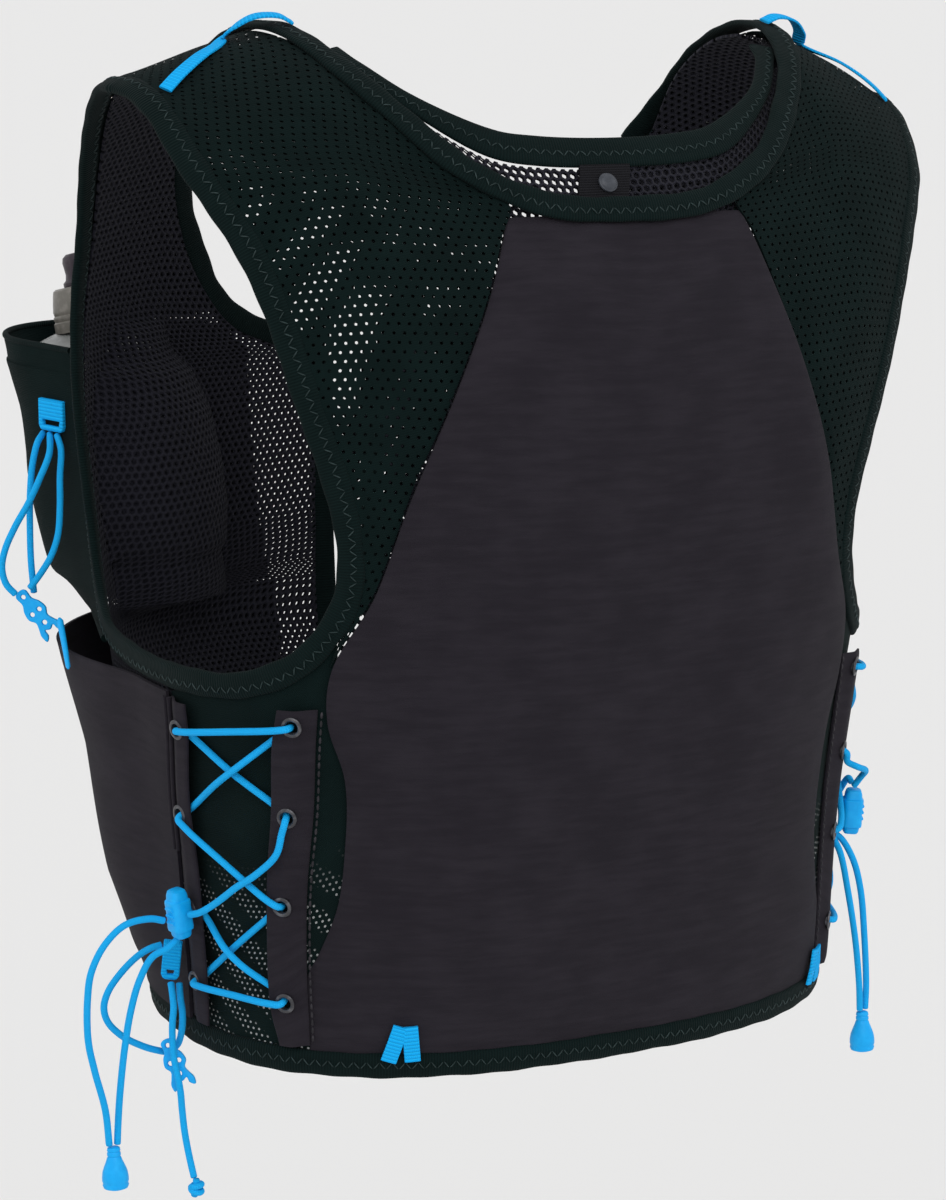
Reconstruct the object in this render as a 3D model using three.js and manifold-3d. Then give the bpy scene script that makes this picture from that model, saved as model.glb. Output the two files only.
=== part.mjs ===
// Running hydration vest, millimetres, +Z up.
// The wearer faces -Y, the wearer's left is +X, the origin lies midway between the shoulder tops.
// Every cloth piece is a thin wall over one torso form. A place on it is given by a turn about the
// torso (0 at the side, 90 at the middle of the back, -90 at the middle of the front) and a drop.
import * as THREE from 'three';
import { mergeVertices } from 'three/addons/utils/BufferGeometryUtils.js';
import Module from 'manifold-3d';

const wasm = await Module();
wasm.setup();

// torso form
const LENGTH = 400;
const SHOULDER_HALF = 210;
const HEM_HALF = 143;
const WIDTH_EASE = 1.7;
const BACK_DEPTH = 118;
const BACK_HEM_DEPTH = 100;
const FRONT_DEPTH = 132;
const FRONT_HEM_DEPTH = 108;
const CROWN = 170;
const SQUARENESS = 2.45;
const DEPTH_EASE_START = 190;

// how it hangs: the shoulders fall outwards and lean a little to the wearer's right
const DROP_LEFT = 30;
const DROP_RIGHT = 44;
const DROP_FROM = 108;
const DROP_TO = 200;
const LIFT = 3;
const SWAY = 9;
const HANG_FADE = 200;
const HEM_SWAY = 5;
const HEM_SWAY_FROM = 300;

// cloth
const GAP = 0.35;
const MESH_WALL = 1.3;
const KNIT_WALL = 1.3;
const LAYER_GAP = 0.4;
const SHOULDER_SINK = 2.0;
const BINDING_WIDTH = 10.5;
const BINDING_WALL = 4.2;
const NECK_LINING_WALL = 2.4;
const BACK_FULLNESS = 5;

// side lacing
const STRIP_WALL = 1.5;
const STRIP_RISE = 3.6;
const EYELET_HOLE = 3.3;
const LACE_DIAMETER = 2.8;
const LOCK_SIZE = { width: 9, length: 20, depth: 9 };

// webbing
const TAPE_WIDTH = 6;
const TAPE_WALL = 1.4;
const HEM_LOOP_WIDTH = 7.5;
const HEM_LOOP_LENGTH = 16;
const HEM_LOOP_FOOT = 3;
const SNAP_DIAMETER = 8;
const SNAP_HEIGHT = 1.8;

// flasks and pockets
const FLASK_RADIUS = 38;
const FLASK_CLEAR = 3;
const COLLAR_DIAMETER = 31;
const COLLAR_LENGTH = 19;
const VALVE_DIAMETER = 17;
const VALVE_LENGTH = 14;
const POCKET_WALL = 1.5;

// free cords
const CORD_DIAMETER = 2.8;
const BELL = { width: 11, length: 18 };

const DEG = Math.PI / 180;
const clamp = (v, lo, hi) => Math.min(hi, Math.max(lo, v));
const mix = (a, b, t) => a + (b - a) * t;

const COLOURS = {
  charcoal: [0x26232a, 0.85],
  knit: [0x061616, 0.9],
  mesh: [0x1c1c24, 0.9],
  blue: [0x1ca0e4, 0.6],
  trim: [0x3c3e44, 0.4],
  flask: [0x7d7870, 0.35],
  valve: [0x3c343c, 0.5],
};

// torso form

function halfWidth(z) {
  return HEM_HALF + (SHOULDER_HALF - HEM_HALF) * clamp(1 + z / LENGTH, 0, 1) ** WIDTH_EASE;
}

function halfDepth(z, back) {
  const full = back ? BACK_DEPTH : FRONT_DEPTH;
  const hem = back ? BACK_HEM_DEPTH : FRONT_HEM_DEPTH;
  const low = clamp((-z - DEPTH_EASE_START) / (LENGTH - DEPTH_EASE_START), 0, 1.2);
  const down = clamp(-z / CROWN, 0, 1);
  return (full - (full - hem) * low ** 1.5) * Math.sqrt(Math.max(1 - (1 - down) ** 2, 0));
}

function hang(x, y, z) {
  const t = clamp(1 + z / HANG_FADE, 0, 1);
  const share = t * t * (3 - 2 * t);
  const out = clamp((Math.abs(x) - DROP_FROM) / (DROP_TO - DROP_FROM), 0, 1.3) ** 1.2;
  const drop = (x > 0 ? DROP_LEFT : DROP_RIGHT) * out;
  const low = clamp((-z - HEM_SWAY_FROM) / (LENGTH - HEM_SWAY_FROM), 0, 1);
  const sway = SWAY * share + HEM_SWAY * low * low * (3 - 2 * low);
  return new THREE.Vector3(x - sway, y, z + share * (LIFT - drop));
}

// side is 1 on the wearer's left and -1 on the right
function skin(side, turn, down) {
  const z = -Math.max(down, 0);
  const a = turn * DEG;
  const c = Math.cos(a);
  const s = Math.sin(a);
  const x = halfWidth(z) * Math.sign(c) * Math.abs(c) ** (2 / SQUARENESS);
  const y = halfDepth(z, s >= 0) * Math.sign(s) * Math.abs(s) ** (2 / SQUARENESS);
  return hang(side * x, y, z);
}

// round the torso: turn and drop. Over the shoulder: the drop is below zero on the front.
const ROUND = (side) => (turn, down) => skin(side, turn, down);
const OVER = (side) => (turn, run) => skin(side, run < 0 ? -turn : turn, Math.abs(run));

function normalAt(chart, u, v) {
  const h = 0.6;
  const du = chart(u + h, v).sub(chart(u - h, v));
  const dv = chart(u, v + h).sub(chart(u, v - h));
  const n = new THREE.Vector3().crossVectors(du, dv).normalize();
  const p = chart(u, v);
  const out = new THREE.Vector3(0, p.y, p.z + CROWN * 0.6);
  if (Math.abs(p.z) > CROWN * 0.6) out.set(p.x, p.y, 0);
  if (n.dot(out) < 0) n.negate();
  return n;
}

// solids

function fromGrid(outer, inner, rows, cols) {
  const pos = [];
  const push = (p) => pos.push(p.x, p.y, p.z);
  outer.forEach(push);
  inner.forEach(push);
  const base = rows * cols;
  const idx = [];
  const quad = (a, b, c, d) => idx.push(a, b, c, a, c, d);
  const o = (r, c) => r * cols + c;
  const n = (r, c) => base + r * cols + c;
  for (let r = 0; r < rows - 1; r++) {
    for (let c = 0; c < cols - 1; c++) {
      quad(o(r, c), o(r, c + 1), o(r + 1, c + 1), o(r + 1, c));
      quad(n(r, c), n(r + 1, c), n(r + 1, c + 1), n(r, c + 1));
    }
    quad(o(r, 0), o(r + 1, 0), n(r + 1, 0), n(r, 0));
    quad(o(r, cols - 1), n(r, cols - 1), n(r + 1, cols - 1), o(r + 1, cols - 1));
  }
  for (let c = 0; c < cols - 1; c++) {
    quad(o(0, c), n(0, c), n(0, c + 1), o(0, c + 1));
    quad(o(rows - 1, c), o(rows - 1, c + 1), n(rows - 1, c + 1), n(rows - 1, c));
  }
  return closed(pos, idx);
}

function closed(pos, idx) {
  const geometry = new THREE.BufferGeometry();
  geometry.setAttribute('position', new THREE.Float32BufferAttribute(pos, 3));
  geometry.setIndex(idx);
  if (volume(geometry) < 0) {
    for (let i = 0; i < idx.length; i += 3) [idx[i], idx[i + 1]] = [idx[i + 1], idx[i]];
    geometry.setIndex(idx);
  }
  return geometry;
}

function volume(geometry) {
  const p = geometry.attributes.position;
  const ix = geometry.index;
  const v = [new THREE.Vector3(), new THREE.Vector3(), new THREE.Vector3()];
  let sum = 0;
  for (let i = 0; i < ix.count; i += 3) {
    v.forEach((q, k) => q.fromBufferAttribute(p, ix.getX(i + k)));
    sum += v[0].dot(new THREE.Vector3().crossVectors(v[1], v[2])) / 6;
  }
  return sum;
}

const lifted = (chart, u, v, lift) =>
  chart(u, v).addScaledVector(normalAt(chart, u, v), typeof lift === 'function' ? lift(u, v) : lift);

// a cloth wall over a grid of places, with an inner and an outer lift and an optional push
function wall(chart, grid, inner, outer, push = (p) => p) {
  const cols = grid[0].length;
  const flat = grid.flat();
  const out = flat.map(([u, v]) => push(lifted(chart, u, v, outer), true));
  const inn = flat.map(([u, v]) => push(lifted(chart, u, v, inner), false));
  return fromGrid(out, inn, grid.length, cols);
}

// straight rows between two edges, each edge moved in by a length on the cloth
function ruled(chart, rows, cols, side = 1) {
  const a = inset(chart, rows.map((r) => [r[0], r[1]]), rows.map((r) => -side * (r[4] ?? 0)));
  const b = inset(chart, rows.map((r) => [r[2], r[3]]), rows.map((r) => side * (r[5] ?? 0)));
  return rows.map((_, i) => columns([a[i], b[i]], cols));
}

// a grid that fits four edges; the rows follow the drop of the left edge
function fitted(top, bottom, left, right) {
  const cols = top.length;
  const span = left[left.length - 1][1] - left[0][1];
  return left.map((l, i) => {
    const s = (l[1] - left[0][1]) / span;
    return top.map((q, c) => {
      const t = c / (cols - 1);
      return [0, 1].map((k) => {
        const [p00, p01] = [top[0][k], top[cols - 1][k]];
        const [p10, p11] = [bottom[0][k], bottom[cols - 1][k]];
        const corners = (1 - s) * mix(p00, p01, t) + s * mix(p10, p11, t);
        return mix(l[k], right[i][k], t) + mix(q[k], bottom[c][k], s) - corners;
      });
    });
  });
}

// moves places sideways on the cloth by d, or by one d for each place
function inset(chart, table, d) {
  return table.map(([u, v], i) => {
    const by = Array.isArray(d) ? d[i] : d;
    if (!by) return [u, v];
    const prev = table[Math.max(i - 1, 0)];
    const next = table[Math.min(i + 1, table.length - 1)];
    const tangent = chart(next[0], next[1]).sub(chart(prev[0], prev[1])).normalize();
    const want = new THREE.Vector3().crossVectors(normalAt(chart, u, v), tangent).normalize();
    const h = 0.5;
    const du = chart(u + h, v).sub(chart(u - h, v)).divideScalar(2 * h);
    const dv = chart(u, v + h).sub(chart(u, v - h)).divideScalar(2 * h);
    const [aa, ab, bb] = [du.dot(du), du.dot(dv), dv.dot(dv)];
    const [ra, rb] = [du.dot(want) * by, dv.dot(want) * by];
    const det = aa * bb - ab * ab;
    return [u + (ra * bb - rb * ab) / det, Math.abs(v) < 0.1 ? v : v + (rb * aa - ra * ab) / det];
  });
}

const mix2 = (a, b, t) => [mix(a[0], b[0], t), mix(a[1], b[1], t)];

const columns = (table, count) => {
  const out = [];
  for (let c = 0; c < count; c++) {
    const f = (c / (count - 1)) * (table.length - 1);
    const i = Math.min(Math.floor(f), table.length - 2);
    out.push(mix2(table[i], table[i + 1], f - i));
  }
  return out;
};

// a flat band along places on the cloth
function band(path, width, inner, outer, steps, loop = false) {
  const curve = new THREE.CatmullRomCurve3(path.map((q) => q.p), loop, 'centripetal');
  const normals = new THREE.CatmullRomCurve3(path.map((q) => q.n), loop, 'centripetal');
  const count = loop ? steps : steps + 1;
  const ring = [];
  for (let i = 0; i < count; i++) {
    const t = i / steps;
    const p = curve.getPoint(t);
    const tangent = curve.getTangent(t);
    const n = normals.getPoint(t).normalize();
    const across = new THREE.Vector3().crossVectors(tangent, n).normalize();
    n.crossVectors(across, tangent).normalize();
    const corner = (w, h) => p.clone().addScaledVector(across, w).addScaledVector(n, h);
    const half = width / 2;
    ring.push([corner(-half, inner), corner(half, inner), corner(half, outer), corner(-half, outer)]);
  }
  return rings(ring, loop);
}

function rings(ring, loop) {
  const sides = ring[0].length;
  const pos = [];
  ring.forEach((r) => r.forEach((p) => pos.push(p.x, p.y, p.z)));
  const idx = [];
  const last = loop ? ring.length : ring.length - 1;
  for (let i = 0; i < last; i++) {
    const j = (i + 1) % ring.length;
    for (let k = 0; k < sides; k++) {
      const m = (k + 1) % sides;
      const [a, b, c, d] = [i * sides + k, i * sides + m, j * sides + m, j * sides + k];
      idx.push(a, b, c, a, c, d);
    }
  }
  if (!loop) {
    const end = (ring.length - 1) * sides;
    for (let k = 1; k < sides - 1; k++) {
      idx.push(0, k + 1, k);
      idx.push(end, end + k, end + k + 1);
    }
  }
  return closed(pos, idx);
}

const place = (chart, u, v, lift = 0) => {
  const n = normalAt(chart, u, v);
  return { p: chart(u, v).addScaledVector(n, lift), n };
};

// a curve that gives each stretch between two points the same number of steps
class Route extends THREE.CatmullRomCurve3 {
  getPointAt(t, target) { return this.getPoint(t, target); }
  getTangentAt(t, target) { return this.getTangent(t, target); }
}

function tube(points, diameter, sides = 8, perStretch = 0) {
  const shape = new THREE.Shape();
  for (let i = 0; i < sides; i++) {
    const a = (2 * Math.PI * i) / sides;
    const [x, y] = [Math.cos(a) * diameter / 2, Math.sin(a) * diameter / 2];
    if (i) shape.lineTo(x, y);
    else shape.moveTo(x, y);
  }
  const path = new Route(points, false, 'centripetal');
  const steps = perStretch ? (points.length - 1) * perStretch : Math.ceil(path.getLength() / (3 * diameter));
  return welded(new THREE.ExtrudeGeometry(shape, { steps, extrudePath: path, bevelEnabled: false }));
}

function welded(geometry) {
  const g = geometry.clone();
  g.deleteAttribute('normal');
  g.deleteAttribute('uv');
  return mergeVertices(g, 1e-4);
}

function solid(geometry) {
  return new wasm.Manifold(new wasm.Mesh({
    numProp: 3,
    vertProperties: new Float32Array(geometry.attributes.position.array),
    triVerts: new Uint32Array(geometry.index.array),
  }));
}

function fromSolid(manifold) {
  const parts = manifold.decompose();
  const main = parts.reduce((a, b) => (a.volume() > b.volume() ? a : b));
  const m = main.getMesh();
  const geometry = new THREE.BufferGeometry();
  geometry.setAttribute('position', new THREE.BufferAttribute(new Float32Array(m.vertProperties), 3));
  geometry.setIndex(new THREE.BufferAttribute(new Uint32Array(m.triVerts), 1));
  return geometry;
}

// the vest's edges: turn, and drop as a share of LENGTH

const share = (table) => table.map(([turn, down]) => [turn, down * LENGTH]);
const rowShare = (table) => table.map(([ua, va, ub, vb, ...insets]) =>
  [ua, va * LENGTH, ub, vb * LENGTH, ...insets]);
const mirrored = (table) => table.map(([turn, down]) => [180 - turn, down]);
const TOP = 0.0001;

const ARMHOLE_BACK = share([
  [34.0, TOP], [34.6, 0.0015], [35.2, 0.007], [35.7, 0.0275], [36.2, 0.0825], [37.7, 0.12],
  [40.6, 0.1775], [42.8, 0.25], [45.4, 0.3425], [47.8, 0.40], [49.2, 0.46], [48.2, 0.505],
  [45.0, 0.536], [39.0, 0.568],
]);
const ARMHOLE_UNDER = share([[27.8, 0.592], [13.9, 0.5975], [-1.5, 0.595], [-13.0, 0.585]]);
const ARMHOLE_FRONT = share([
  [-21.0, 0.555], [-25.0, 0.50], [-28.5, 0.375], [-32.4, 0.275], [-35.9, 0.20], [-36.8, 0.12],
  [-36.4, 0.06], [-35.4, 0.0125], [-34.8, 0.003],
]);
const ARMHOLE = [...ARMHOLE_BACK, ...ARMHOLE_UNDER, ...ARMHOLE_FRONT];

const NECK_BACK = share([
  [90, 0.151], [83, 0.145], [75.2, 0.1125], [70.1, 0.0675], [66.6, 0.0325], [64.6, 0.008], [63.7, TOP],
]);

const liningHalf = [
  [66.2, 0.010, 66.0, 0.022], [68.0, 0.024, 67.4, 0.034], [72.0, 0.052, 70.6, 0.064],
  [79.5, 0.085, 78.6, 0.110], [84.0, 0.092, 83.6, 0.1185],
];
const LINING_ROWS = [
  ...liningHalf, [90, 0.095, 90, 0.121], ...liningHalf.map((r) => [180 - r[0], r[1], 180 - r[2], r[3]]).reverse(),
].map(([ua, va, ub, vb]) => [ua, va * LENGTH, ub, vb * LENGTH]);

const FRONT_EDGE = share([
  [63.7, TOP], [63.2, 0.006], [62.6, 0.0275], [61.6, 0.075], [62.5, 0.13], [64.5, 0.19],
  [67.9, 0.24], [71.2, 0.28], [75.5, 0.308], [80.5, 0.325], [85.0, 0.342], [87.8, 0.372],
  [88.6, 0.42], [88.7, 0.5], [88.6, 0.75], [88.5, 0.974],
]);
const NECK_ON_FRONT = 4;

const YOKE_SEAM = share([
  [78.2, 0.165], [74.2, 0.2375], [68.7, 0.3175], [61.5, 0.4125], [54.6, 0.51], [46.5, 0.5825],
]);
const SIDE_SEAM = share([
  [46.2, 0.635], [48.8, 0.69], [48.5, 0.755], [46.2, 0.8225], [41.4, 0.875], [38.6, 0.90],
  [38.6, 0.98],
]);
const SIDE_FRONT_SEAM = share([[8.0, 0.612], [5.6, 0.72], [3.4, 0.82], [3.0, 0.98]]);
const SIDE_SEAM_PANEL = [...SIDE_SEAM.slice(0, -1), [38.6, 0.9745 * LENGTH]];

const under = (base) => (turn, down) => base - SHOULDER_SINK * clamp(1 - Math.abs(down) / CROWN, 0, 1);
const mesh = { inner: under(-MESH_WALL - LAYER_GAP / 2), outer: under(-LAYER_GAP / 2) };
const knit = { inner: LAYER_GAP / 2, outer: LAYER_GAP / 2 + KNIT_WALL };
const edge = { inner: -BINDING_WALL / 2, outer: BINDING_WALL / 2 };
const over = { inner: 0.75, outer: 3.7 };
const HALF = BINDING_WIDTH / 2;
const SEAM = BINDING_WIDTH + 1.2;
const SEWN = 0.3;

const group = new THREE.Group();

function add(name, geometry, colour) {
  const [hex, roughness] = COLOURS[colour];
  const material = new THREE.MeshStandardMaterial({ color: hex, roughness, metalness: 0 });
  const piece = new THREE.Mesh(geometry, material);
  piece.name = name;
  group.add(piece);
}

const SIDES = [['left', 1], ['right', -1]];

// bindings

// places along an edge, moved onto the cloth by d; above the shoulder the normal stands up
function edgePath(side, table, d, loop = false) {
  const chart = ROUND(side);
  const raw = table.map(([turn, down]) => {
    const n = normalAt(chart, turn, down);
    if (down < 1) n.add(normalAt(chart, -turn, down)).normalize();
    return { p: skin(side, turn, down), n };
  });
  return raw.map((q, i) => {
    const prev = raw[loop ? (i + raw.length - 1) % raw.length : Math.max(i - 1, 0)].p;
    const next = raw[loop ? (i + 1) % raw.length : Math.min(i + 1, raw.length - 1)].p;
    const tangent = next.clone().sub(prev).normalize();
    const across = new THREE.Vector3().crossVectors(q.n, tangent).normalize();
    return { p: q.p.clone().addScaledVector(across, d * side), n: q.n };
  });
}

const bound = (path, steps, loop) => band(path, BINDING_WIDTH, edge.inner, edge.outer, steps, loop);

const armholePath = (side) => edgePath(side, ARMHOLE, HALF, true);
const frontTable = FRONT_EDGE.map(([turn, down]) => [-turn, down]);

function neckPath() {
  const half = (side) => edgePath(side, [...NECK_BACK, ...frontTable.slice(1, NECK_ON_FRONT + 1)], HALF);
  return [...half(-1).slice(1).reverse(), ...half(1)];
}

const frontPath = (side) => edgePath(side, frontTable.slice(NECK_ON_FRONT), HALF)
  .map((q, i, list) => (i ? q : { p: q.p.lerp(list[1].p, 0.07), n: q.n }));

function hemPath() {
  const path = [];
  const [start, count] = [-81.5, 33];
  for (let i = 0; i <= count; i++) {
    path.push(place(ROUND(1), mix(start, 180 - start, i / count), HEM_DOWN));
  }
  return path;
}

const HEM_DOWN = 0.99 * LENGTH;
const PANEL_END = 0.9745;
const STEPS = { arm: 38, neck: 34, front: 14, hem: 48 };

function bindings() {
  add('hem_binding', bound(hemPath(), STEPS.hem, false), 'knit');
  add('neck_binding', band(neckPath(), BINDING_WIDTH, over.inner, over.outer, STEPS.neck), 'knit');
  const lining = wall(ROUND(1), ruled(ROUND(1), LINING_ROWS, 3), -NECK_LINING_WALL, 0.4);
  add('neck_lining_binding', lining, 'knit');
  for (const [name, side] of SIDES) {
    add(`armhole_binding_${name}`, bound(armholePath(side), STEPS.arm, true), 'knit');
    add(`front_binding_${name}`, bound(frontPath(side), STEPS.front, false), 'knit');
  }
}

// flask, and the push that it gives to the cloth round it

const FLASK_TURN = -53;
const FLASK_ROWS = [
  { down: 0.5775, radius: 0.40, lift: 7 },
  { down: 0.57, radius: 0.70, lift: 7 },
  { down: 0.545, radius: 0.93, lift: 7.5 },
  { down: 0.50, radius: 1.0, lift: 8 },
  { down: 0.45, radius: 1.0, lift: 9 },
  { down: 0.40, radius: 0.98, lift: 12 },
  { down: 0.36, radius: 0.87, lift: 16 },
  { down: 0.335, radius: 0.64, lift: 20 },
  { down: 0.3225, radius: 0.36, lift: 22 },
];

function flaskAt(side, z) {
  const down = -z / LENGTH;
  const rows = FLASK_ROWS;
  let i = 1;
  while (i < rows.length - 1 && rows[i].down > down) i++;
  const f = clamp((rows[i - 1].down - down) / (rows[i - 1].down - rows[i].down), 0, 1);
  const inside = down <= rows[0].down + 0.03 && down >= rows[rows.length - 1].down - 0.012;
  const lift = mix(rows[i - 1].lift, rows[i].lift, f);
  const radius = FLASK_RADIUS * mix(rows[i - 1].radius, rows[i].radius, f);
  const chart = ROUND(side);
  const out = normalAt(chart, FLASK_TURN, -z).setZ(0).normalize();
  const centre = chart(FLASK_TURN, -z).addScaledVector(out, lift).setZ(z);
  const across = new THREE.Vector3(-out.y, out.x, 0);
  return { centre, out, across, radius, inside };
}

// cloth behind the flask: round it, then straight back to the torso form
function behindFlask(side, thickness) {
  return (p, isOuter) => {
    const f = flaskAt(side, p.z);
    if (!f.inside) return p;
    const d = p.clone().sub(f.centre);
    const least = FLASK_RADIUS * (-p.z > 0.5 * LENGTH ? 0.85 : 0.72);
    const r = Math.max(f.radius, least) + FLASK_CLEAR + (isOuter ? 0 : thickness);
    const aside = Math.abs(d.dot(f.across));
    const reach = aside < r * Math.SQRT1_2 ? Math.sqrt(r * r - aside * aside) : r * Math.SQRT2 - aside;
    const short = reach + d.dot(f.out);
    return short > 0 ? p.clone().addScaledVector(f.out, -short) : p;
  };
}

const circle = (f, z, radius, sides) => Array.from({ length: sides }, (_, k) => {
  const a = (2 * Math.PI * k) / sides;
  return f.centre.clone().addScaledVector(f.across, Math.cos(a) * radius)
    .addScaledVector(f.out, Math.sin(a) * radius).setZ(z);
});

function flasks() {
  const top = -FLASK_ROWS[FLASK_ROWS.length - 1].down * LENGTH;
  const neck = [
    [-GAP, COLLAR_DIAMETER * 0.5], [4, COLLAR_DIAMETER * 0.5], [COLLAR_LENGTH, COLLAR_DIAMETER * 0.44],
    [COLLAR_LENGTH + 1, VALVE_DIAMETER * 0.5], [COLLAR_LENGTH + VALVE_LENGTH * 0.6, VALVE_DIAMETER * 0.47],
    [COLLAR_LENGTH + VALVE_LENGTH, VALVE_DIAMETER * 0.25],
  ];
  for (const [name, side] of SIDES) {
    const body = FLASK_ROWS.map(({ down }) => {
      const z = -down * LENGTH;
      const f = flaskAt(side, z);
      return circle(f, z, f.radius, 14);
    });
    add(`flask_${name}`, rings(body, false), 'flask');
    const seat = flaskAt(side, top);
    const lean = seat.out.clone().multiplyScalar(0.22);
    const cap = neck.map(([h, radius]) => {
      const z = top + h + 2 * GAP;
      return circle(seat, z, radius, 12).map((p) => p.addScaledVector(lean, h).setZ(z));
    });
    add(`flask_cap_${name}`, rings(cap, false), 'valve');
  }
}

// cloth panels

function turnAt(table, down) {
  let i = 1;
  while (i < table.length - 1 && table[i][1] < down) i++;
  const [a, b] = [table[i - 1], table[i]];
  return mix(a[0], b[0], (down - a[1]) / (b[1] - a[1]));
}

const SIDE_TOP = inset(ROUND(1), ARMHOLE, SEAM + 1).slice(12, 16);
const SIDE_DOWNS = [0.635, 0.68, 0.73, 0.78, 0.83, 0.88, 0.93, PANEL_END];

function backMesh() {
  const armEdge = inset(ROUND(1), ARMHOLE_BACK, SEAM).filter((_, i) => i < 13 && i !== 1 && i !== 4);
  armEdge[armEdge.length - 1][0] += 0.4;
  const left = [...armEdge, ...SIDE_DOWNS.map((d) => [turnAt(SIDE_SEAM, d * LENGTH) + 0.3, d * LENGTH])];
  const topHalf = [...share([
    [50, TOP], [63.0, TOP], [65.4, 0.027], [66.9, 0.038], [70.6, 0.0665], [78.6, 0.1125], [84, 0.1205],
  ]), [90, 0.123 * LENGTH]];
  const top = [left[0], ...topHalf, ...mirrored(topHalf).reverse().slice(1), mirrored([left[0]])[0]];
  const end = left[left.length - 1];
  const bottom = columns([end, [180 - end[0], end[1]]], top.length);
  const grid = fitted(top, bottom, left, mirrored(left));
  add('back_mesh', wall(ROUND(1), grid, mesh.inner, mesh.outer), 'mesh');
}

const FULL_BACK = (turn, down) => {
  const s = clamp((down / LENGTH - 0.165) / 0.815, 0, 1);
  const t = clamp((turn - 40) / 100, 0, 1);
  return BACK_FULLNESS * Math.sin(Math.PI * s) ** 0.8 * Math.sin(Math.PI * t) ** 0.8;
};

function backPanel() {
  const left = [...YOKE_SEAM, ...SIDE_SEAM_PANEL].map(([u, v]) => [u + 0.5, v]);
  const neck = inset(ROUND(1), NECK_BACK.slice(0, 2), SEAM + 1);
  const topHalf = [neck[1], mix2(neck[1], neck[0], 0.5), [90, neck[0][1]]];
  const top = [left[0], ...topHalf, ...mirrored(topHalf).reverse().slice(1), mirrored([left[0]])[0]];
  const wide = columns(top, 13);
  const end = left[left.length - 1];
  const bottom = columns([end, [180 - end[0], end[1]]], wide.length);
  const grid = fitted(wide, bottom, left, mirrored(left));
  const lift = (base) => (u, v) => base + FULL_BACK(u, v);
  add('back_panel', wall(ROUND(1), grid, lift(knit.inner), lift(knit.outer)), 'charcoal');
}

// over the shoulder, from the tip on the back to the pocket on the front: arm side, then neck side
const YOKE_ROWS = rowShare([
  [45.0, 0.536, 46.3, 0.58, SEAM, SEWN], [48.2, 0.505, 54.4, 0.51, SEAM, SEWN],
  [49.2, 0.46, 58.3, 0.46, SEAM, SEWN], [47.8, 0.40, 62.2, 0.40, SEAM, SEWN],
  [45.4, 0.3425, 66.8, 0.3425, SEAM, SEWN], [42.8, 0.25, 73.3, 0.25, SEAM, SEWN],
  [40.6, 0.1775, 77.0, 0.185, SEAM, SEWN], [37.7, 0.12, 78.0, 0.148, SEAM, SEAM],
  [36.2, 0.0825, 75.2, 0.1125, SEAM, SEAM + 0.5], [35.7, 0.035, 70.1, 0.0675, SEAM, SEAM + 0.5],
  [35.4, 0.0125, 66.6, 0.03, SEAM, SEAM], [34.8, 0.003, 64.6, 0.006, SEAM, SEAM],
  [34.2, 0.0003, 63.8, 0.0005, SEAM, SEAM],
  [34.6, -0.002, 63.4, -0.003, SEAM, SEAM], [35.4, -0.0125, 62.9, -0.0175, SEAM, SEAM],
  [36.4, -0.05, 61.8, -0.05, SEAM, SEAM], [36.8, -0.12, 62.3, -0.12, SEAM, SEAM],
  [35.9, -0.20, 64.9, -0.20, SEAM, SEAM], [32.8, -0.265, 69.96, -0.265, SEAM, SEAM + 1],
  [31.1, -0.306, 73.2, -0.2935, SEAM, SEAM + 1.3],
]);

function yokes() {
  for (const [name, side] of SIDES) {
    const grid = ruled(OVER(side), YOKE_ROWS, 5, side);
    add(`yoke_${name}`, wall(OVER(side), grid, knit.inner, knit.outer), 'knit');
  }
}

const FRONT_ROWS = rowShare([
  [-34.2, TOP, -63.7, TOP, SEAM, 0], [-35.4, 0.0125, -62.9, 0.0175, SEAM, 0],
  [-36.4, 0.05, -61.8, 0.05, SEAM, 0], [-36.8, 0.12, -62.3, 0.12, SEAM, SEAM],
  [-35.9, 0.20, -64.9, 0.20, SEAM, SEAM + 0.4], [-32.8, 0.265, -69.96, 0.265, SEAM, SEAM + 1.3],
  [-31.1, 0.308, -75.5, 0.308, SEAM, SEAM + 1.3], [-29.9, 0.34, -81.5, 0.3285, SEAM, SEAM + 1.3],
  [-28.5, 0.375, -86.6, 0.355, SEAM, SEAM + 1.3], [-27.5, 0.42, -88.45, 0.405, SEAM, SEAM + 1.3],
  [-25.0, 0.50, -88.7, 0.48, SEAM + 0.8, SEAM + 1.3], [-21.0, 0.555, -88.7, 0.535, SEAM + 1.1, SEAM + 1.3],
  [-13.0, 0.585, -88.7, 0.57, SEAM + 0.5, SEAM + 1.3], [-1.5, 0.6245, -88.7, 0.607, 0, SEAM + 1.3],
  [7.7, 0.6275, -88.65, 0.65, 0, SEAM + 1.3], [5.6, 0.72, -88.6, 0.72, SEWN, SEAM + 1.3],
  [3.4, 0.82, -88.55, 0.82, SEWN, SEAM + 1.3], [2.9, PANEL_END, -88.5, PANEL_END, SEWN, SEAM + 1.3],
]);

function frontPanels() {
  for (const [name, side] of SIDES) {
    const grid = ruled(ROUND(side), FRONT_ROWS, 10, side);
    const body = wall(ROUND(side), grid, mesh.inner, mesh.outer, behindFlask(side, MESH_WALL));
    add(`front_panel_${name}`, body, 'mesh');
  }
}

function between(rows, down) {
  let i = 1;
  while (i < rows.length - 1 && rows[i].down < down) i++;
  const f = clamp((down - rows[i - 1].down) / (rows[i].down - rows[i - 1].down), 0, 1);
  const mixed = {};
  for (const key of Object.keys(rows[0])) mixed[key] = mix(rows[i - 1][key], rows[i][key], f);
  return mixed;
}

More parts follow.
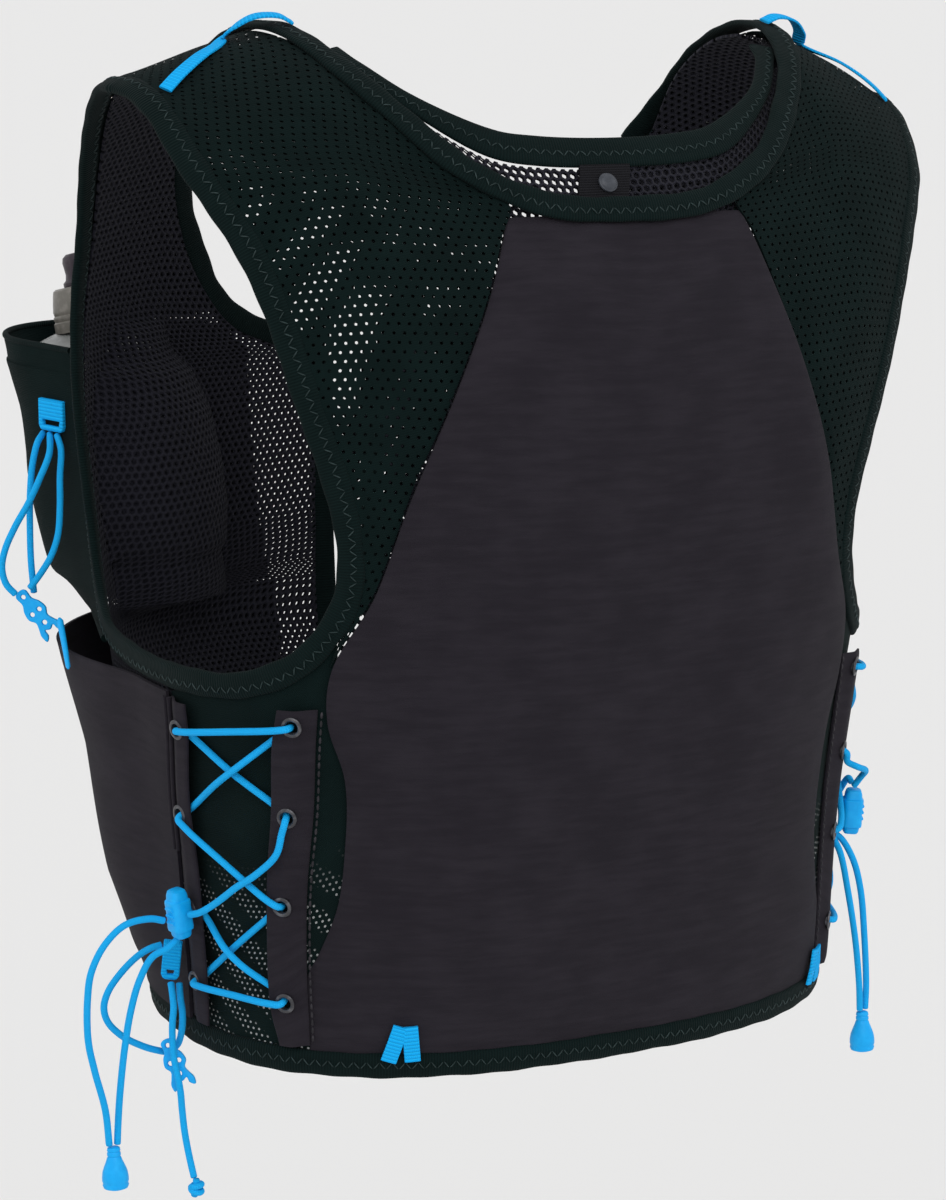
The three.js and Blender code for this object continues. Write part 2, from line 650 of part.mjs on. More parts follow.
// how far a pocket stands out: its middle turn, half width and greatest lift
const LOWER_POCKET_BULGE = [
  { down: 0.609, middle: -40, half: 39, lift: 24 },
  { down: 0.73, middle: -40, half: 41, lift: 17 },
  { down: 0.86, middle: -40, half: 41, lift: 15 },
  { down: 0.94, middle: -40, half: 41, lift: 8 },
  { down: 0.972, middle: -40, half: 41, lift: 1.5 },
];

const bulge = (table, base) => (turn, down) => {
  const { middle, half, lift } = between(table, down / LENGTH);
  const off = Math.abs(turn - middle) / half;
  return base + (off < 1 ? lift * Math.cos((Math.PI / 2) * off) ** 1.2 : 0);
};

// the flask pocket from the armhole binding to its front edge: drops as shares of LENGTH, the turn of
// the front edge, and how far its inside lies from the flask's widest part
const FLASK_POCKET = [
  { arm: 0.322, front: 0.322, turn: -71.6, clear: -2 },
  { arm: 0.345, front: 0.345, turn: -75.0, clear: 0 },
  { arm: 0.365, front: 0.365, turn: -76.5, clear: 1.4 },
  { arm: 0.42, front: 0.42, turn: -77.0, clear: 1.4 },
  { arm: 0.50, front: 0.495, turn: -77.6, clear: 1.4 },
  { arm: 0.55, front: 0.545, turn: -78.0, clear: 0.6 },
  { arm: 0.585, front: 0.58, turn: -78.5, clear: -6 },
  { arm: 0.6085, front: 0.607, turn: -79.0, clear: -17 },
];
const POCKET_ARM = inset(ROUND(1), ARMHOLE, SEAM + 0.7).slice(16, 23).reverse();
const FLASK_POCKET_COLS = 11;

const LOWER_POCKET_ROWS = rowShare([
  [8.4, 0.627, -80.0, 0.6085], [7.9, 0.66, -80.2, 0.65], [6.4, 0.73, -80.2, 0.73],
  [6.0, 0.80, -80.0, 0.80], [4.8, 0.87, -80.0, 0.87], [4.2, 0.93, -79.8, 0.93],
  [3.8, PANEL_END, -79.6, PANEL_END],
]);

// from one edge straight to the flask, round it, and straight on to the other edge
function roundFlask(side, from, to, radius) {
  const { centre, out, across } = flaskAt(side, (from.z + to.z) / 2);
  const flat = (p) => {
    const d = p.clone().sub(centre);
    return [d.dot(across) * side, d.dot(out)];
  };
  const ends = [from, to].map(flat);
  const reach = ends.map(([a, o]) => Math.hypot(a, o));
  const angle = ends.map(([a, o]) => Math.atan2(o, a));
  const start = angle[0] + Math.acos(radius / reach[0]);
  const end = angle[1] + 2 * Math.PI - Math.acos(radius / reach[1]);
  const straight = reach.map((r) => Math.sqrt(r * r - radius * radius));
  const length = straight[0] + radius * (end - start) + straight[1];
  return Array.from({ length: FLASK_POCKET_COLS }, (_, c) => {
    const t = c / (FLASK_POCKET_COLS - 1);
    const s = t * length;
    const turn = clamp((s - straight[0]) / radius, 0, end - start) + start;
    const onFlask = [Math.cos(turn) * radius, Math.sin(turn) * radius];
    let [a, o] = onFlask;
    if (s < straight[0]) [a, o] = mix2(ends[0], onFlask, s / straight[0]);
    if (s > length - straight[1]) [a, o] = mix2(ends[1], onFlask, (length - s) / straight[1]);
    return centre.clone().addScaledVector(across, a * side).addScaledVector(out, o).setZ(mix(from.z, to.z, t));
  });
}

function flaskPocket(side) {
  const chart = ROUND(side);
  const sheet = (thickness) => FLASK_POCKET.flatMap(({ arm, front, turn, clear }) => {
    const lift = knit.inner + thickness;
    const from = lifted(chart, turnAt(POCKET_ARM, arm * LENGTH), arm * LENGTH, lift);
    const to = lifted(chart, turn, front * LENGTH, lift);
    return roundFlask(side, from, to, FLASK_RADIUS + clear + thickness);
  });
  return fromGrid(sheet(POCKET_WALL), sheet(0), FLASK_POCKET.length, FLASK_POCKET_COLS);
}

function pockets() {
  for (const [name, side] of SIDES) {
    const [inner, outer] = [knit.inner, knit.inner + POCKET_WALL];
    add(`flask_pocket_${name}`, flaskPocket(side), 'knit');
    const low = wall(ROUND(side), ruled(ROUND(side), LOWER_POCKET_ROWS, 11, side),
      bulge(LOWER_POCKET_BULGE, inner + 0.6), bulge(LOWER_POCKET_BULGE, outer + 0.6));
    add(`lower_pocket_${name}`, low, 'charcoal');
  }
}

// side panels, eyelet strips and lacing

function sidePanels() {
  const top = columns([[SIDE_TOP[0][0] - 0.4, SIDE_TOP[0][1]], ...SIDE_TOP.slice(1), [8.3, 0.6285 * LENGTH]], 7);
  const left = [top[0], ...SIDE_DOWNS.map((d) => [turnAt(SIDE_SEAM, d * LENGTH) - 0.3, d * LENGTH])];
  const first = top[top.length - 1];
  const right = left.map(([, v], i) => {
    const down = mix(first[1], PANEL_END * LENGTH, (v - left[0][1]) / (PANEL_END * LENGTH - left[0][1]));
    return i ? [turnAt(SIDE_FRONT_SEAM, down) + 0.3, down] : first;
  });
  const bottom = columns([left[left.length - 1], right[right.length - 1]], top.length);
  const grid = fitted(top, bottom, left, right);
  for (const [name, side] of SIDES) {
    const body = wall(ROUND(side), grid, mesh.inner, mesh.outer);
    add(`side_panel_${name}`, body, 'knit');
  }
}

const STRIPS = {
  rear: {
    free: share([[36.2, 0.622], [34.6, 0.66], [33.4, 0.73], [31.0, 0.82], [29.6, 0.93], [31.5, 0.972]]),
    sewn: share([[43.5, 0.622], [42.6, 0.66], [41.4, 0.73], [38.9, 0.82], [37.6, 0.90], [37.6, 0.972]]),
    eyelets: share([[38.9, 0.6375], [36.8, 0.73], [34.4, 0.8225], [33.2, 0.925]]),
  },
  front: {
    free: share([[15.0, 0.632], [14.9, 0.66], [13.3, 0.73], [13.8, 0.80], [13.0, 0.87], [12.0, 0.972]]),
    sewn: share([[9.0, 0.632], [8.6, 0.66], [7.0, 0.73], [6.6, 0.80], [5.4, 0.87], [4.4, 0.972]]),
    eyelets: share([[12.2, 0.66], [10.3, 0.75], [10.2, 0.8475], [8.6, 0.9275]]),
  },
};
const STRIP_ACROSS = [0, 0.25, 0.6, 1];
const stripRise = (across) => {
  const t = clamp(across * 1.6, 0, 1);
  return STRIP_RISE * t * t * (3 - 2 * t);
};

function stripWall(side, strip) {
  const downs = strip.free.map((q) => q[1]);
  const rows = [];
  for (let i = 0; i < downs.length - 1; i++) rows.push(downs[i], (downs[i] + downs[i + 1]) / 2);
  rows.push(downs[downs.length - 1]);
  const chart = ROUND(side);
  const [out, inn] = [[], []];
  for (const down of rows) {
    for (const across of STRIP_ACROSS) {
      const turn = mix(turnAt(strip.sewn, down), turnAt(strip.free, down), across);
      const lift = knit.inner + stripRise(across);
      inn.push(lifted(chart, turn, down, lift));
      out.push(lifted(chart, turn, down, lift + STRIP_WALL));
    }
  }
  return fromGrid(out, inn, rows.length, STRIP_ACROSS.length);
}

function eyeletLift(strip, turn, down) {
  const across = (turnAt(strip.sewn, down) - turn) / (turnAt(strip.sewn, down) - turnAt(strip.free, down));
  return knit.inner + stripRise(across);
}

function turned(profile, sides, origin, axis) {
  const g = welded(new THREE.LatheGeometry(profile.map(([r, h]) => new THREE.Vector2(r, h)), sides));
  const spin = new THREE.Quaternion().setFromUnitVectors(new THREE.Vector3(0, 1, 0), axis);
  g.applyMatrix4(new THREE.Matrix4().compose(origin, spin, new THREE.Vector3(1, 1, 1)));
  return closed(Array.from(g.attributes.position.array), Array.from(g.index.array));
}

function eyeletStrip(side, strip) {
  const chart = ROUND(side);
  let body = solid(stripWall(side, strip));
  for (const [turn, down] of strip.eyelets) {
    const { p, n } = place(chart, turn, down, eyeletLift(strip, turn, down));
    const hole = turned([[0, -3], [EYELET_HOLE, -3], [EYELET_HOLE, 5], [0, 5]], 8, p, n);
    body = body.subtract(solid(hole));
  }
  return fromSolid(body);
}

const LACE = { beneath: 1.85, over: 7.3, gap: 6.0, crossHigh: 5.2, steepOver: 6.7, steepUnder: 2.5 };
// drops as shares of LENGTH
const LOCKS = {
  left: {
    turn: 11, down: 0.84625, lift: 11.7,
    strand: [[34.9, 0.765, 8.4], [30.5, 0.7875, 9.0], [26, 0.80375, 9.6], [20.7, 0.825, 9.8], [16.6, 0.83875, 10.8],
      [14.0, 0.84375, 11.4]],
    finish: [[10.4, 0.84725, 6.5]],
  },
  right: {
    turn: 24.5, down: 0.8125, lift: 12.3,
    strand: [[35.0, 0.7475, 11.5], [30.0, 0.7575, 15.0], [26.6, 0.77, 14.0], [25.7, 0.782, 11.8]],
    finish: [[12.4, 0.84, 7.2], [16.5, 0.82, 6.8], [20.0, 0.795, 8.2], [22.2, 0.77875, 10.2], [23.2, 0.7815, 11.2]],
  },
};

// one lace a side, in and out of the eyelets, with both ends at the lock
function laceRoute(side, name) {
  const chart = ROUND(side);
  const [R1, R2, R3, R4] = STRIPS.rear.eyelets;
  const [F1, F2, F3, F4] = STRIPS.front.eyelets;
  const on = (turn, down, lift) => lifted(chart, turn, down, lift);
  const from = (e, to, length, lift) => {
    const t = length / chart(e[0], e[1]).distanceTo(chart(to[0], to[1]));
    return on(mix(e[0], to[0], t), mix(e[1], to[1], t), lift);
  };
  const middle = (a, b, shares, lift) =>
    shares.map((t) => on(mix(a[0], b[0], t), mix(a[1], b[1], t), lift));
  const above = (e, to) => [from(e, to, 1.5, LACE.steepOver), from(e, to, 6, LACE.over)];
  const below = (e, to) => [from(e, to, 1.5, LACE.steepUnder), from(e, to, 6, LACE.beneath)];
  const over = (a, b) => [...above(a, b), ...middle(a, b, [0.5], LACE.gap), ...above(b, a).reverse()];
  const under = (a, b, shares, lift) =>
    [...below(a, b), ...middle(a, b, shares, lift), ...below(b, a).reverse()];
  const lock = LOCKS[name];
  const drop = ([turn, down, lift]) => [turn, down * LENGTH, lift];
  const strand = lock.strand.map((q) => on(...drop(q)));
  const first = drop(lock.strand[0]);
  return [
    ...strand.reverse(), ...above(R2, first).reverse(),
    ...under(R2, F1, [0.5], LACE.beneath), ...over(F1, R1),
    ...under(R1, F2, [0.4, 0.6], LACE.crossHigh), ...over(F2, R3),
    ...under(R3, F4, [0.5], LACE.beneath), ...over(F4, R4),
    ...under(R4, F3, [0.4, 0.6], LACE.crossHigh),
    ...(name === 'left' ? [] : above(F3, drop(lock.finish[0]))), ...lock.finish.map((q) => on(...drop(q))),
  ];
}

// free cords and what hangs on them

// each group's points are offsets from the place that carries it
const v3 = (list, from) => list.map(([x, y, z]) => new THREE.Vector3(x, y, z).add(from));
const UPPER_SEAT = place(ROUND(1), -28, 0.40 * LENGTH).p;
const LOWER_SEAT = place(ROUND(1), 3, 0.895 * LENGTH).p;
const lockSeat = (side, { turn, down, lift }) => place(ROUND(side), turn, down * LENGTH, lift).p;

const TAILS = {
  left: [
    [[5.71, -1.97, -2.77], [11.71, -1.97, -1.27], [21.71, -2.97, -2.77], [29.71, -3.97, -9.77], [34.71, -5.97, -20.77],
      [35.71, -7.97, -32.77], [34.71, -9.97, -50.77], [31.71, -10.97, -63.77], [26.71, -11.97, -81.77], [24.71, -12.97, -96.77]],
    [[-0.29, -1.97, -11.17], [3.71, -1.97, -14.27], [9.71, -3.97, -17.77], [14.71, -4.97, -26.77], [17.71, -6.97, -39.77], [19.71, -8.97, -56.77],
      [20.71, -10.97, -73.77], [20.71, -12.97, -85.77], [21.21, -12.97, -96.77]],
  ],
  right: [
    [[10.63, -2.78, -8.43], [4.63, -1.78, -11.43], [-1.37, 0.22, -21.43], [-5.37, 1.22, -35.43], [-8.37, 1.22, -56.43],
      [-10.37, 1.22, -78.43], [-10.37, 1.22, -89.43]],
    [[10.63, 1.22, -9.43], [7.63, 3.22, -16.43], [2.63, 3.22, -34.43], [-2.37, 3.22, -57.43], [-5.37, 3.22, -78.43],
      [-6.87, 2.22, -89.43]],
  ],
};
const BELLS = {
  left: [[22.91, -12.97, -97.77], [21.71, -12.97, -117.77]],
  right: [[-8.57, 1.72, -90.43], [-9.37, 1.72, -109.43]],
};
const UPPER_CORDS = [
  [[0.16, -23.12, -6.23], [0.76, -17.42, -11.53], [2.66, -14.02, -22.63], [3.56, -12.02, -34.93],
    [5.16, -10.52, -45.93], [8.76, -9.22, -54.23], [13.56, -8.52, -60.93], [18.56, -8.22, -66.73]],
  [[1.66, -27.32, -6.23], [6.96, -15.22, -12.93], [11.76, -13.32, -21.93], [16.66, -13.42, -31.73],
    [22.76, -13.82, -41.83], [27.26, -13.72, -51.13], [28.96, -12.92, -58.43], [27.76, -11.52, -64.93],
    [24.46, -9.92, -69.13]],
  [[2.96, -31.52, -6.23], [8.36, -25.12, -9.73], [11.46, -23.02, -19.33], [13.36, -20.82, -32.23],
    [14.26, -18.72, -44.53], [14.66, -16.92, -56.83], [14.46, -14.42, -69.93]],
];
const LOWER_CORD = [
  [9.6, -3.06, -2.2], [13.6, -3.86, -3.2], [18.6, -5.56, -6.3], [25.7, -6.26, -12.7],
  [31.4, -6.16, -19.9], [33.3, -5.86, -26.2], [31.8, -5.36, -32.2], [26.2, -4.16, -38.5],
  [18.6, -3.66, -43.3], [11.1, -4.86, -46.9], [5.9, -5.06, -48.3], [2.8, -3.06, -45.7],
  [2.4, 1.04, -38.4], [2.4, 2.04, -31], [2.7, 0.54, -24.2], [2.4, -1.26, -18.9],
];
const LOWER_STRING = [
  [6.1, -1.26, -18.2], [6.6, 1.54, -22], [7.2, 4.04, -26.8], [8.1, 4.84, -33],
  [8.4, 5.54, -39.4], [8.6, 7.34, -46.5], [7.9, 9.84, -54.2], [7, 10.54, -60.8],
  [6.4, 10.44, -67.1], [5.8, 11.74, -76.9], [5.1, 14.54, -86.2], [4.5, 18.14, -94.4],
];
const KNOT = { at: [4.1, 19.54, -98.6], diameter: 7 };
const TOGGLE = [[10.76, 4.58, -77.73], [12.66, 15.08, -87.73], [14.16, 22.48, -95.03]];

function bell(ends, seat) {
  const [a, b] = v3(ends, seat);
  const axis = b.clone().sub(a).normalize();
  const length = BELL.length;
  const profile = [
    [0, 0], [BELL.width * 0.28, 0], [BELL.width * 0.34, length * 0.12], [BELL.width * 0.34, length * 0.3],
    [BELL.width * 0.5, length * 0.5], [BELL.width * 0.5, length * 0.92], [BELL.width * 0.42, length],
    [0, length],
  ];
  return turned(profile, 10, a, axis);
}

const across3 = (axis, facing) => new THREE.Vector3().crossVectors(axis, facing).normalize();

// a flat hook plate from one end to the other, with small round holes
function plate(ends, seat, width, holed, facing = FACING) {
  const [a, b] = v3(ends, seat);
  const along = b.clone().sub(a);
  const length = along.length();
  along.normalize();
  const side = across3(along, new THREE.Vector3(...facing));
  const n = new THREE.Vector3().crossVectors(side, along).normalize();
  const [w, c] = [width / 2, width * 0.3];
  const shape = new THREE.Shape([
    [-w, c], [-w + c, 0], [w - c, 0], [w, c], [w, length - c], [w - c, length], [-w + c, length], [-w, length - c],
  ].map(([x, y]) => new THREE.Vector2(x, y)));
  for (const share of holed ? [0.18, 0.38, 0.6, 0.82] : []) {
    const corner = (k) => new THREE.Vector2(1.6 * Math.cos(k * Math.PI / 3),
      length * share + 1.6 * Math.sin(k * Math.PI / 3));
    shape.holes.push(new THREE.Path([0, 1, 2, 3, 4, 5].map(corner)));
  }
  const g = new THREE.ExtrudeGeometry(shape, { depth: PLATE_WALL, bevelEnabled: false });
  g.translate(0, 0, -PLATE_WALL / 2);
  g.applyMatrix4(new THREE.Matrix4().makeBasis(side, along, n));
  g.translate(a.x, a.y, a.z);
  return welded(g);
}

function lockBody(side, name) {
  const { turn, down, lift } = LOCKS[name];
  const chart = ROUND(side);
  const { width, length, depth } = LOCK_SIZE;
  const top = place(chart, turn, down * LENGTH - length / 2, lift);
  const end = place(chart, turn, down * LENGTH + length / 2, lift);
  const axis = end.p.clone().sub(top.p).normalize();
  const along = [[0, 0.72], [0.12, 1], [0.5, 0.9], [0.88, 1], [1, 0.72]];
  const across = across3(axis, top.n);
  const ring = along.map(([t, s]) => {
    const c = top.p.clone().lerp(end.p, t);
    return [[-1, -0.6], [-0.6, -1], [0.6, -1], [1, -0.6], [1, 0.6], [0.6, 1], [-0.6, 1], [-1, 0.6]]
      .map(([x, y]) => c.clone().addScaledVector(across, x * s * width / 2).addScaledVector(top.n, y * s * depth / 2));
  });
  return rings(ring, false);
}

function lacing() {
  for (const [name, side] of SIDES) {
    add(`lace_${name}`, tube(laceRoute(side, name), LACE_DIAMETER, 6, 1), 'blue');
    add(`cord_lock_${name}`, lockBody(side, name), 'blue');
    add(`rear_eyelet_strip_${name}`, eyeletStrip(side, STRIPS.rear), 'charcoal');
    add(`front_eyelet_strip_${name}`, eyeletStrip(side, STRIPS.front), 'charcoal');
    const seat = lockSeat(side, LOCKS[name]);
    const [long, short] = TAILS[name].map((route) => v3(route, seat));
    add(`lace_tail_long_${name}`, tube(long, CORD_DIAMETER, 6), 'blue');
    add(`lace_tail_short_${name}`, tube(short, CORD_DIAMETER, 6), 'blue');
    add(`cord_end_${name}`, bell(BELLS[name], seat), 'blue');
  }
}

const FACING = [0.48, 0.87, 0];
const POCKET_FACING = [0.94, 0.34, 0];
const PLATE_WALL = 2.2;

function hooks() {
  UPPER_CORDS.forEach((route, i) => add(`upper_cord_${i + 1}`, tube(v3(route, UPPER_SEAT), CORD_DIAMETER), 'blue'));
  add('lower_cord', tube(v3(LOWER_CORD, LOWER_SEAT), CORD_DIAMETER, 6), 'blue');
  add('lower_string', tube(v3(LOWER_STRING, LOWER_SEAT), CORD_DIAMETER, 6), 'blue');
  const r = KNOT.diameter / 2;
  const ball = [[0, -r], [r * 0.8, -r * 0.6], [r, 0], [r * 0.8, r * 0.6], [0, r]];
  add('string_knot', turned(ball, 8, v3([KNOT.at], LOWER_SEAT)[0], new THREE.Vector3(0, 0, 1)), 'blue');
  add('upper_hook', plate([[21.46, -13.22, -69.13], [8.86, -4.22, -86.73]], UPPER_SEAT, 10, true), 'blue');
  add('upper_toggle', tube(v3(TOGGLE, UPPER_SEAT), CORD_DIAMETER), 'blue');
  add('lower_hook', plate([[8.8, -0.36, -41.4], [3.6, 7.84, -60]], LOWER_SEAT, 10, true), 'blue');
  add('upper_tab', plate([[1.86, -24.62, 8.67], [1.46, -25.02, -4.63]], UPPER_SEAT, 15, false, POCKET_FACING), 'blue');
  add('lower_tab', plate([[6.2, 1.54, 0.4], [5.8, -3.06, -16.9]], LOWER_SEAT, 7.5, false), 'blue');
}

// webbing, tab and snap

// flat on the yoke, sewn down, then an arch that ends on the neck binding
const LOOP = [
  { turn: 41.5, run: 6.5, rise: 0 }, { turn: 45.0, run: 4.6, rise: 1.2 }, { turn: 50.0, run: 2.2, rise: 1.4 },
  { turn: 54.8, run: 0.3, rise: 0 }, { turn: 57.0, run: 0.6, rise: 4.6 }, { turn: 59.5, run: 1.0, rise: 7.2 },
  { turn: 62.0, run: 1.3, rise: 6.0 }, { turn: 63.5, run: 1.5, rise: 2.6 },
];

function shoulderLoops() {
  for (const [name, side] of SIDES) {
    const path = LOOP.map(({ turn, run, rise }) => place(OVER(side), turn, run, knit.outer + GAP + rise));
    add(`shoulder_loop_${name}`, band(path, TAPE_WIDTH, 0, TAPE_WALL, 16), 'blue');
  }
}

function hemLoops() {
  const w = HEM_LOOP_WIDTH;
  const outline = [[-w - 0.8, 0], [-0.8, 0], [-0.8, 10.5], [0.8, 10.5], [0.8, 0], [w + 0.8, 0],
    [w + 0.4, 12], [w - 1.5, HEM_LOOP_LENGTH], [-w + 1.5, HEM_LOOP_LENGTH], [-w - 0.4, 12]];
  for (const [name, side, turn] of [['left', 1, 57], ['right', -1, 42]]) {
    const { p, n } = place(ROUND(side), turn, HEM_DOWN - HEM_LOOP_FOOT);
    const up = new THREE.Vector3(0, 0, 1).addScaledVector(n, -n.z).normalize();
    const across = across3(up, n);
    const g = new THREE.ExtrudeGeometry(new THREE.Shape(outline.map(([x, y]) => new THREE.Vector2(x, y))),
      { depth: TAPE_WALL, bevelEnabled: false });
    g.applyMatrix4(new THREE.Matrix4().makeBasis(across, up, across3(across, up)));
    g.translate(p.x, p.y, p.z);
    const out = across3(across, up).dot(n) > 0 ? 2.6 : 2.6 + TAPE_WALL;
    g.translate(n.x * out, n.y * out, n.z * out);
    add(`hem_loop_${name}`, welded(g), 'blue');
  }
}

const TAB = share([[86.9, 0.1222], [90.6, 0.1226], [90.2, 0.1488], [86.3, 0.146]]);
const SNAP_AT = share([[88.9, 0.137]])[0];

function hangerTab() {
  const grid = ruled(ROUND(1), [[...TAB[0], ...TAB[1]], [...TAB[3], ...TAB[2]]], 4);
  const body = wall(ROUND(1), grid, 0.35, 0.35 + TAPE_WALL);
  add('hanger_tab', body, 'mesh');
  const seat = place(ROUND(1), ...SNAP_AT, 0.35 + TAPE_WALL + GAP);
  const r = SNAP_DIAMETER / 2;
  const dome = [[0, 0], [r, 0], [r, SNAP_HEIGHT * 0.45], [r * 0.7, SNAP_HEIGHT * 0.85], [0, SNAP_HEIGHT]];
  add('snap', turned(dome, 12, seat.p, seat.n), 'trim');
}

bindings();
backMesh();
backPanel();
yokes();
frontPanels();
pockets();
sidePanels();
lacing();
flasks();
shoulderLoops();
hemLoops();
hangerTab();
hooks();

export default group;
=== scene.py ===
import math

import bpy
import numpy as np
from mathutils import Matrix, Vector


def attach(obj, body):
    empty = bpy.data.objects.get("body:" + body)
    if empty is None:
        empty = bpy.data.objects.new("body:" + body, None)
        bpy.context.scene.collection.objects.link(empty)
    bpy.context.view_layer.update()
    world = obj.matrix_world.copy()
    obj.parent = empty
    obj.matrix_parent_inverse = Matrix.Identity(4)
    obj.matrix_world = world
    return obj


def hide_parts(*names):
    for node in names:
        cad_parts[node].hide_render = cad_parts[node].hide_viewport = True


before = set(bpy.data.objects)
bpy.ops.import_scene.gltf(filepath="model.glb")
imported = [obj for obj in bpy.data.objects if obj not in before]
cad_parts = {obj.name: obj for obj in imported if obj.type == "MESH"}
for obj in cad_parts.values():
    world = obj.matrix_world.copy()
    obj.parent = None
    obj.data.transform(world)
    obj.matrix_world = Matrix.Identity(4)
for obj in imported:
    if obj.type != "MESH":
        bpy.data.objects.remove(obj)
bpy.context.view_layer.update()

# Lengths are millimetres until a mesh is made. The wearer faces -Y and the wearer's left is +X.
MM = 0.001

# torso form, as in the part's source
LENGTH = 400.0
SHOULDER_HALF, HEM_HALF, WIDTH_EASE = 210.0, 143.0, 1.7
BACK_DEPTH, BACK_HEM_DEPTH = 118.0, 100.0
FRONT_DEPTH, FRONT_HEM_DEPTH = 132.0, 108.0
CROWN, SQUARENESS, DEPTH_EASE_START = 170.0, 2.45, 190.0
DROP_LEFT, DROP_RIGHT, DROP_FROM, DROP_TO = 30.0, 44.0, 108.0, 200.0
LIFT, SWAY, HANG_FADE, HEM_SWAY, HEM_SWAY_FROM = 3.0, 9.0, 200.0, 5.0, 300.0

# cloth
MESH_INNER, MESH_OUTER = -1.5, -0.4
KNIT_INNER, KNIT_OUTER = 0.2, 1.4
BINDING_WIDTH = 10.5
HALF_BINDING = BINDING_WIDTH / 2
TUCK = 9.3
BACK_FULLNESS = 5.0
HEM_DOWN, HEM_START, HEM_STEPS = 0.99 * LENGTH, -81.5, 34
PANEL_END = 0.9775
TOP = 0.0001
CORD = 2.8
NORMAL_STEP, INSET_STEP = 0.6, 0.5
CREST_SINK = 2.0


def half_width(z):
    return HEM_HALF + (SHOULDER_HALF - HEM_HALF) * np.clip(1 + z / LENGTH, 0, 1) ** WIDTH_EASE


def half_depth(z, back):
    full = np.where(back, BACK_DEPTH, FRONT_DEPTH)
    hem = np.where(back, BACK_HEM_DEPTH, FRONT_HEM_DEPTH)
    low = np.clip((-z - DEPTH_EASE_START) / (LENGTH - DEPTH_EASE_START), 0, 1.2)
    down = np.clip(-z / CROWN, 0, 1)
    return (full - (full - hem) * low**1.5) * np.sqrt(np.maximum(1 - (1 - down) ** 2, 0))


def smoothstep(t):
    t = np.clip(t, 0, 1)
    return t * t * (3 - 2 * t)


def hang(x, y, z):
    share = smoothstep(1 + z / HANG_FADE)
    out = np.clip((np.abs(x) - DROP_FROM) / (DROP_TO - DROP_FROM), 0, 1.3) ** 1.2
    drop = np.where(x > 0, DROP_LEFT, DROP_RIGHT) * out
    low = smoothstep((-z - HEM_SWAY_FROM) / (LENGTH - HEM_SWAY_FROM))
    return np.stack([x - SWAY * share - HEM_SWAY * low, y, z + share * (LIFT - drop)], -1)


def skin(side, turn, down):
    z = -np.maximum(down, 0.0)
    angle = np.radians(turn)
    c, s = np.cos(angle), np.sin(angle)
    power = 2 / SQUARENESS
    x = half_width(z) * np.sign(c) * np.abs(c) ** power
    y = half_depth(z, s >= 0) * np.sign(s) * np.abs(s) ** power
    return hang(side * x, y, z)


def round_torso(side):
    return lambda turn, down: skin(side, np.asarray(turn, float), np.asarray(down, float))


def over_shoulder(side):
    def chart(turn, run):
        turn, run = np.asarray(turn, float), np.asarray(run, float)
        return skin(side, np.where(run < 0, -turn, turn), np.abs(run))

    return chart


def unit(v):
    return v / np.maximum(np.linalg.norm(v, axis=-1, keepdims=True), 1e-9)


def run_along(points):
    """Length along a line up to each of its points."""
    return np.concatenate([[0], np.cumsum(np.linalg.norm(np.diff(points, axis=0), axis=1))])


def heading(points, closed=False):
    """Which way a line goes at each of its points."""
    if closed:
        return unit(np.roll(points, -1, 0) - np.roll(points, 1, 0))
    return unit(np.concatenate([points[1:], points[-1:]]) - np.concatenate([points[:1], points[:-1]]))


def round_angles(sides):
    return np.linspace(0, 2 * math.pi, sides, endpoint=False)


def normal_at(chart, u, v):
    h = NORMAL_STEP
    n = unit(np.cross(chart(u + h, v) - chart(u - h, v), chart(u, v + h) - chart(u, v - h)))
    p = chart(u, v)
    x, y, z = p[..., 0], p[..., 1], p[..., 2]
    low = np.abs(z) > CROWN * 0.6
    out = np.stack([np.where(low, x, 0), y, np.where(low, 0, z + CROWN * 0.6)], -1)
    flip = (n * out).sum(-1, keepdims=True) < 0
    return np.where(flip, -n, n)


def lifted(chart, u, v, lift):
    u, v = np.asarray(u, float), np.asarray(v, float)
    by = lift(u, v) if callable(lift) else lift
    return chart(u, v) + normal_at(chart, u, v) * np.asarray(by)[..., None]


# curves and grids


def spline(points, per, closed=False):
    """A smooth curve through points with the same number of steps in each stretch."""
    points = np.asarray(points, float)
    count = len(points)
    if closed:
        full = np.concatenate([points[-1:], points, points[:2]])
    else:
        full = np.concatenate([2 * points[:1] - points[1:2], points, 2 * points[-1:] - points[-2:-1]])
    steps = np.arange(per)[:, None] / per
    out = []
    for i in range(count if closed else count - 1):
        a, b, c, d = full[i : i + 4]
        t0, t1, t2 = (max(np.linalg.norm(q - p) ** 0.5, 1e-4) for p, q in ((a, b), (b, c), (c, d)))
        m1 = ((b - a) / t0 - (c - a) / (t0 + t1) + (c - b) / t1) * t1
        m2 = ((c - b) / t1 - (d - b) / (t1 + t2) + (d - c) / t2) * t1
        bend = 3 * (c - b) - 2 * m1 - m2
        twist = 2 * (b - c) + m1 + m2
        out.append(b + steps * (m1 + steps * (bend + steps * twist)))
    if not closed:
        out.append(points[-1:])
    return np.concatenate(out)


def fine(grid, rows, cols):
    """A grid of places with more rows and columns, on smooth curves."""
    grid = np.asarray(grid, float)
    down = spline(grid.reshape(len(grid), -1), rows).reshape(-1, grid.shape[1], 2)
    across = down.transpose(1, 0, 2)
    return spline(across.reshape(len(across), -1), cols).reshape(-1, len(down), 2).transpose(1, 0, 2)


def columns(table, count):
    table = np.asarray(table, float)
    at = np.linspace(0, len(table) - 1, count)
    return np.stack([np.interp(at, np.arange(len(table)), table[:, k]) for k in range(2)], -1)


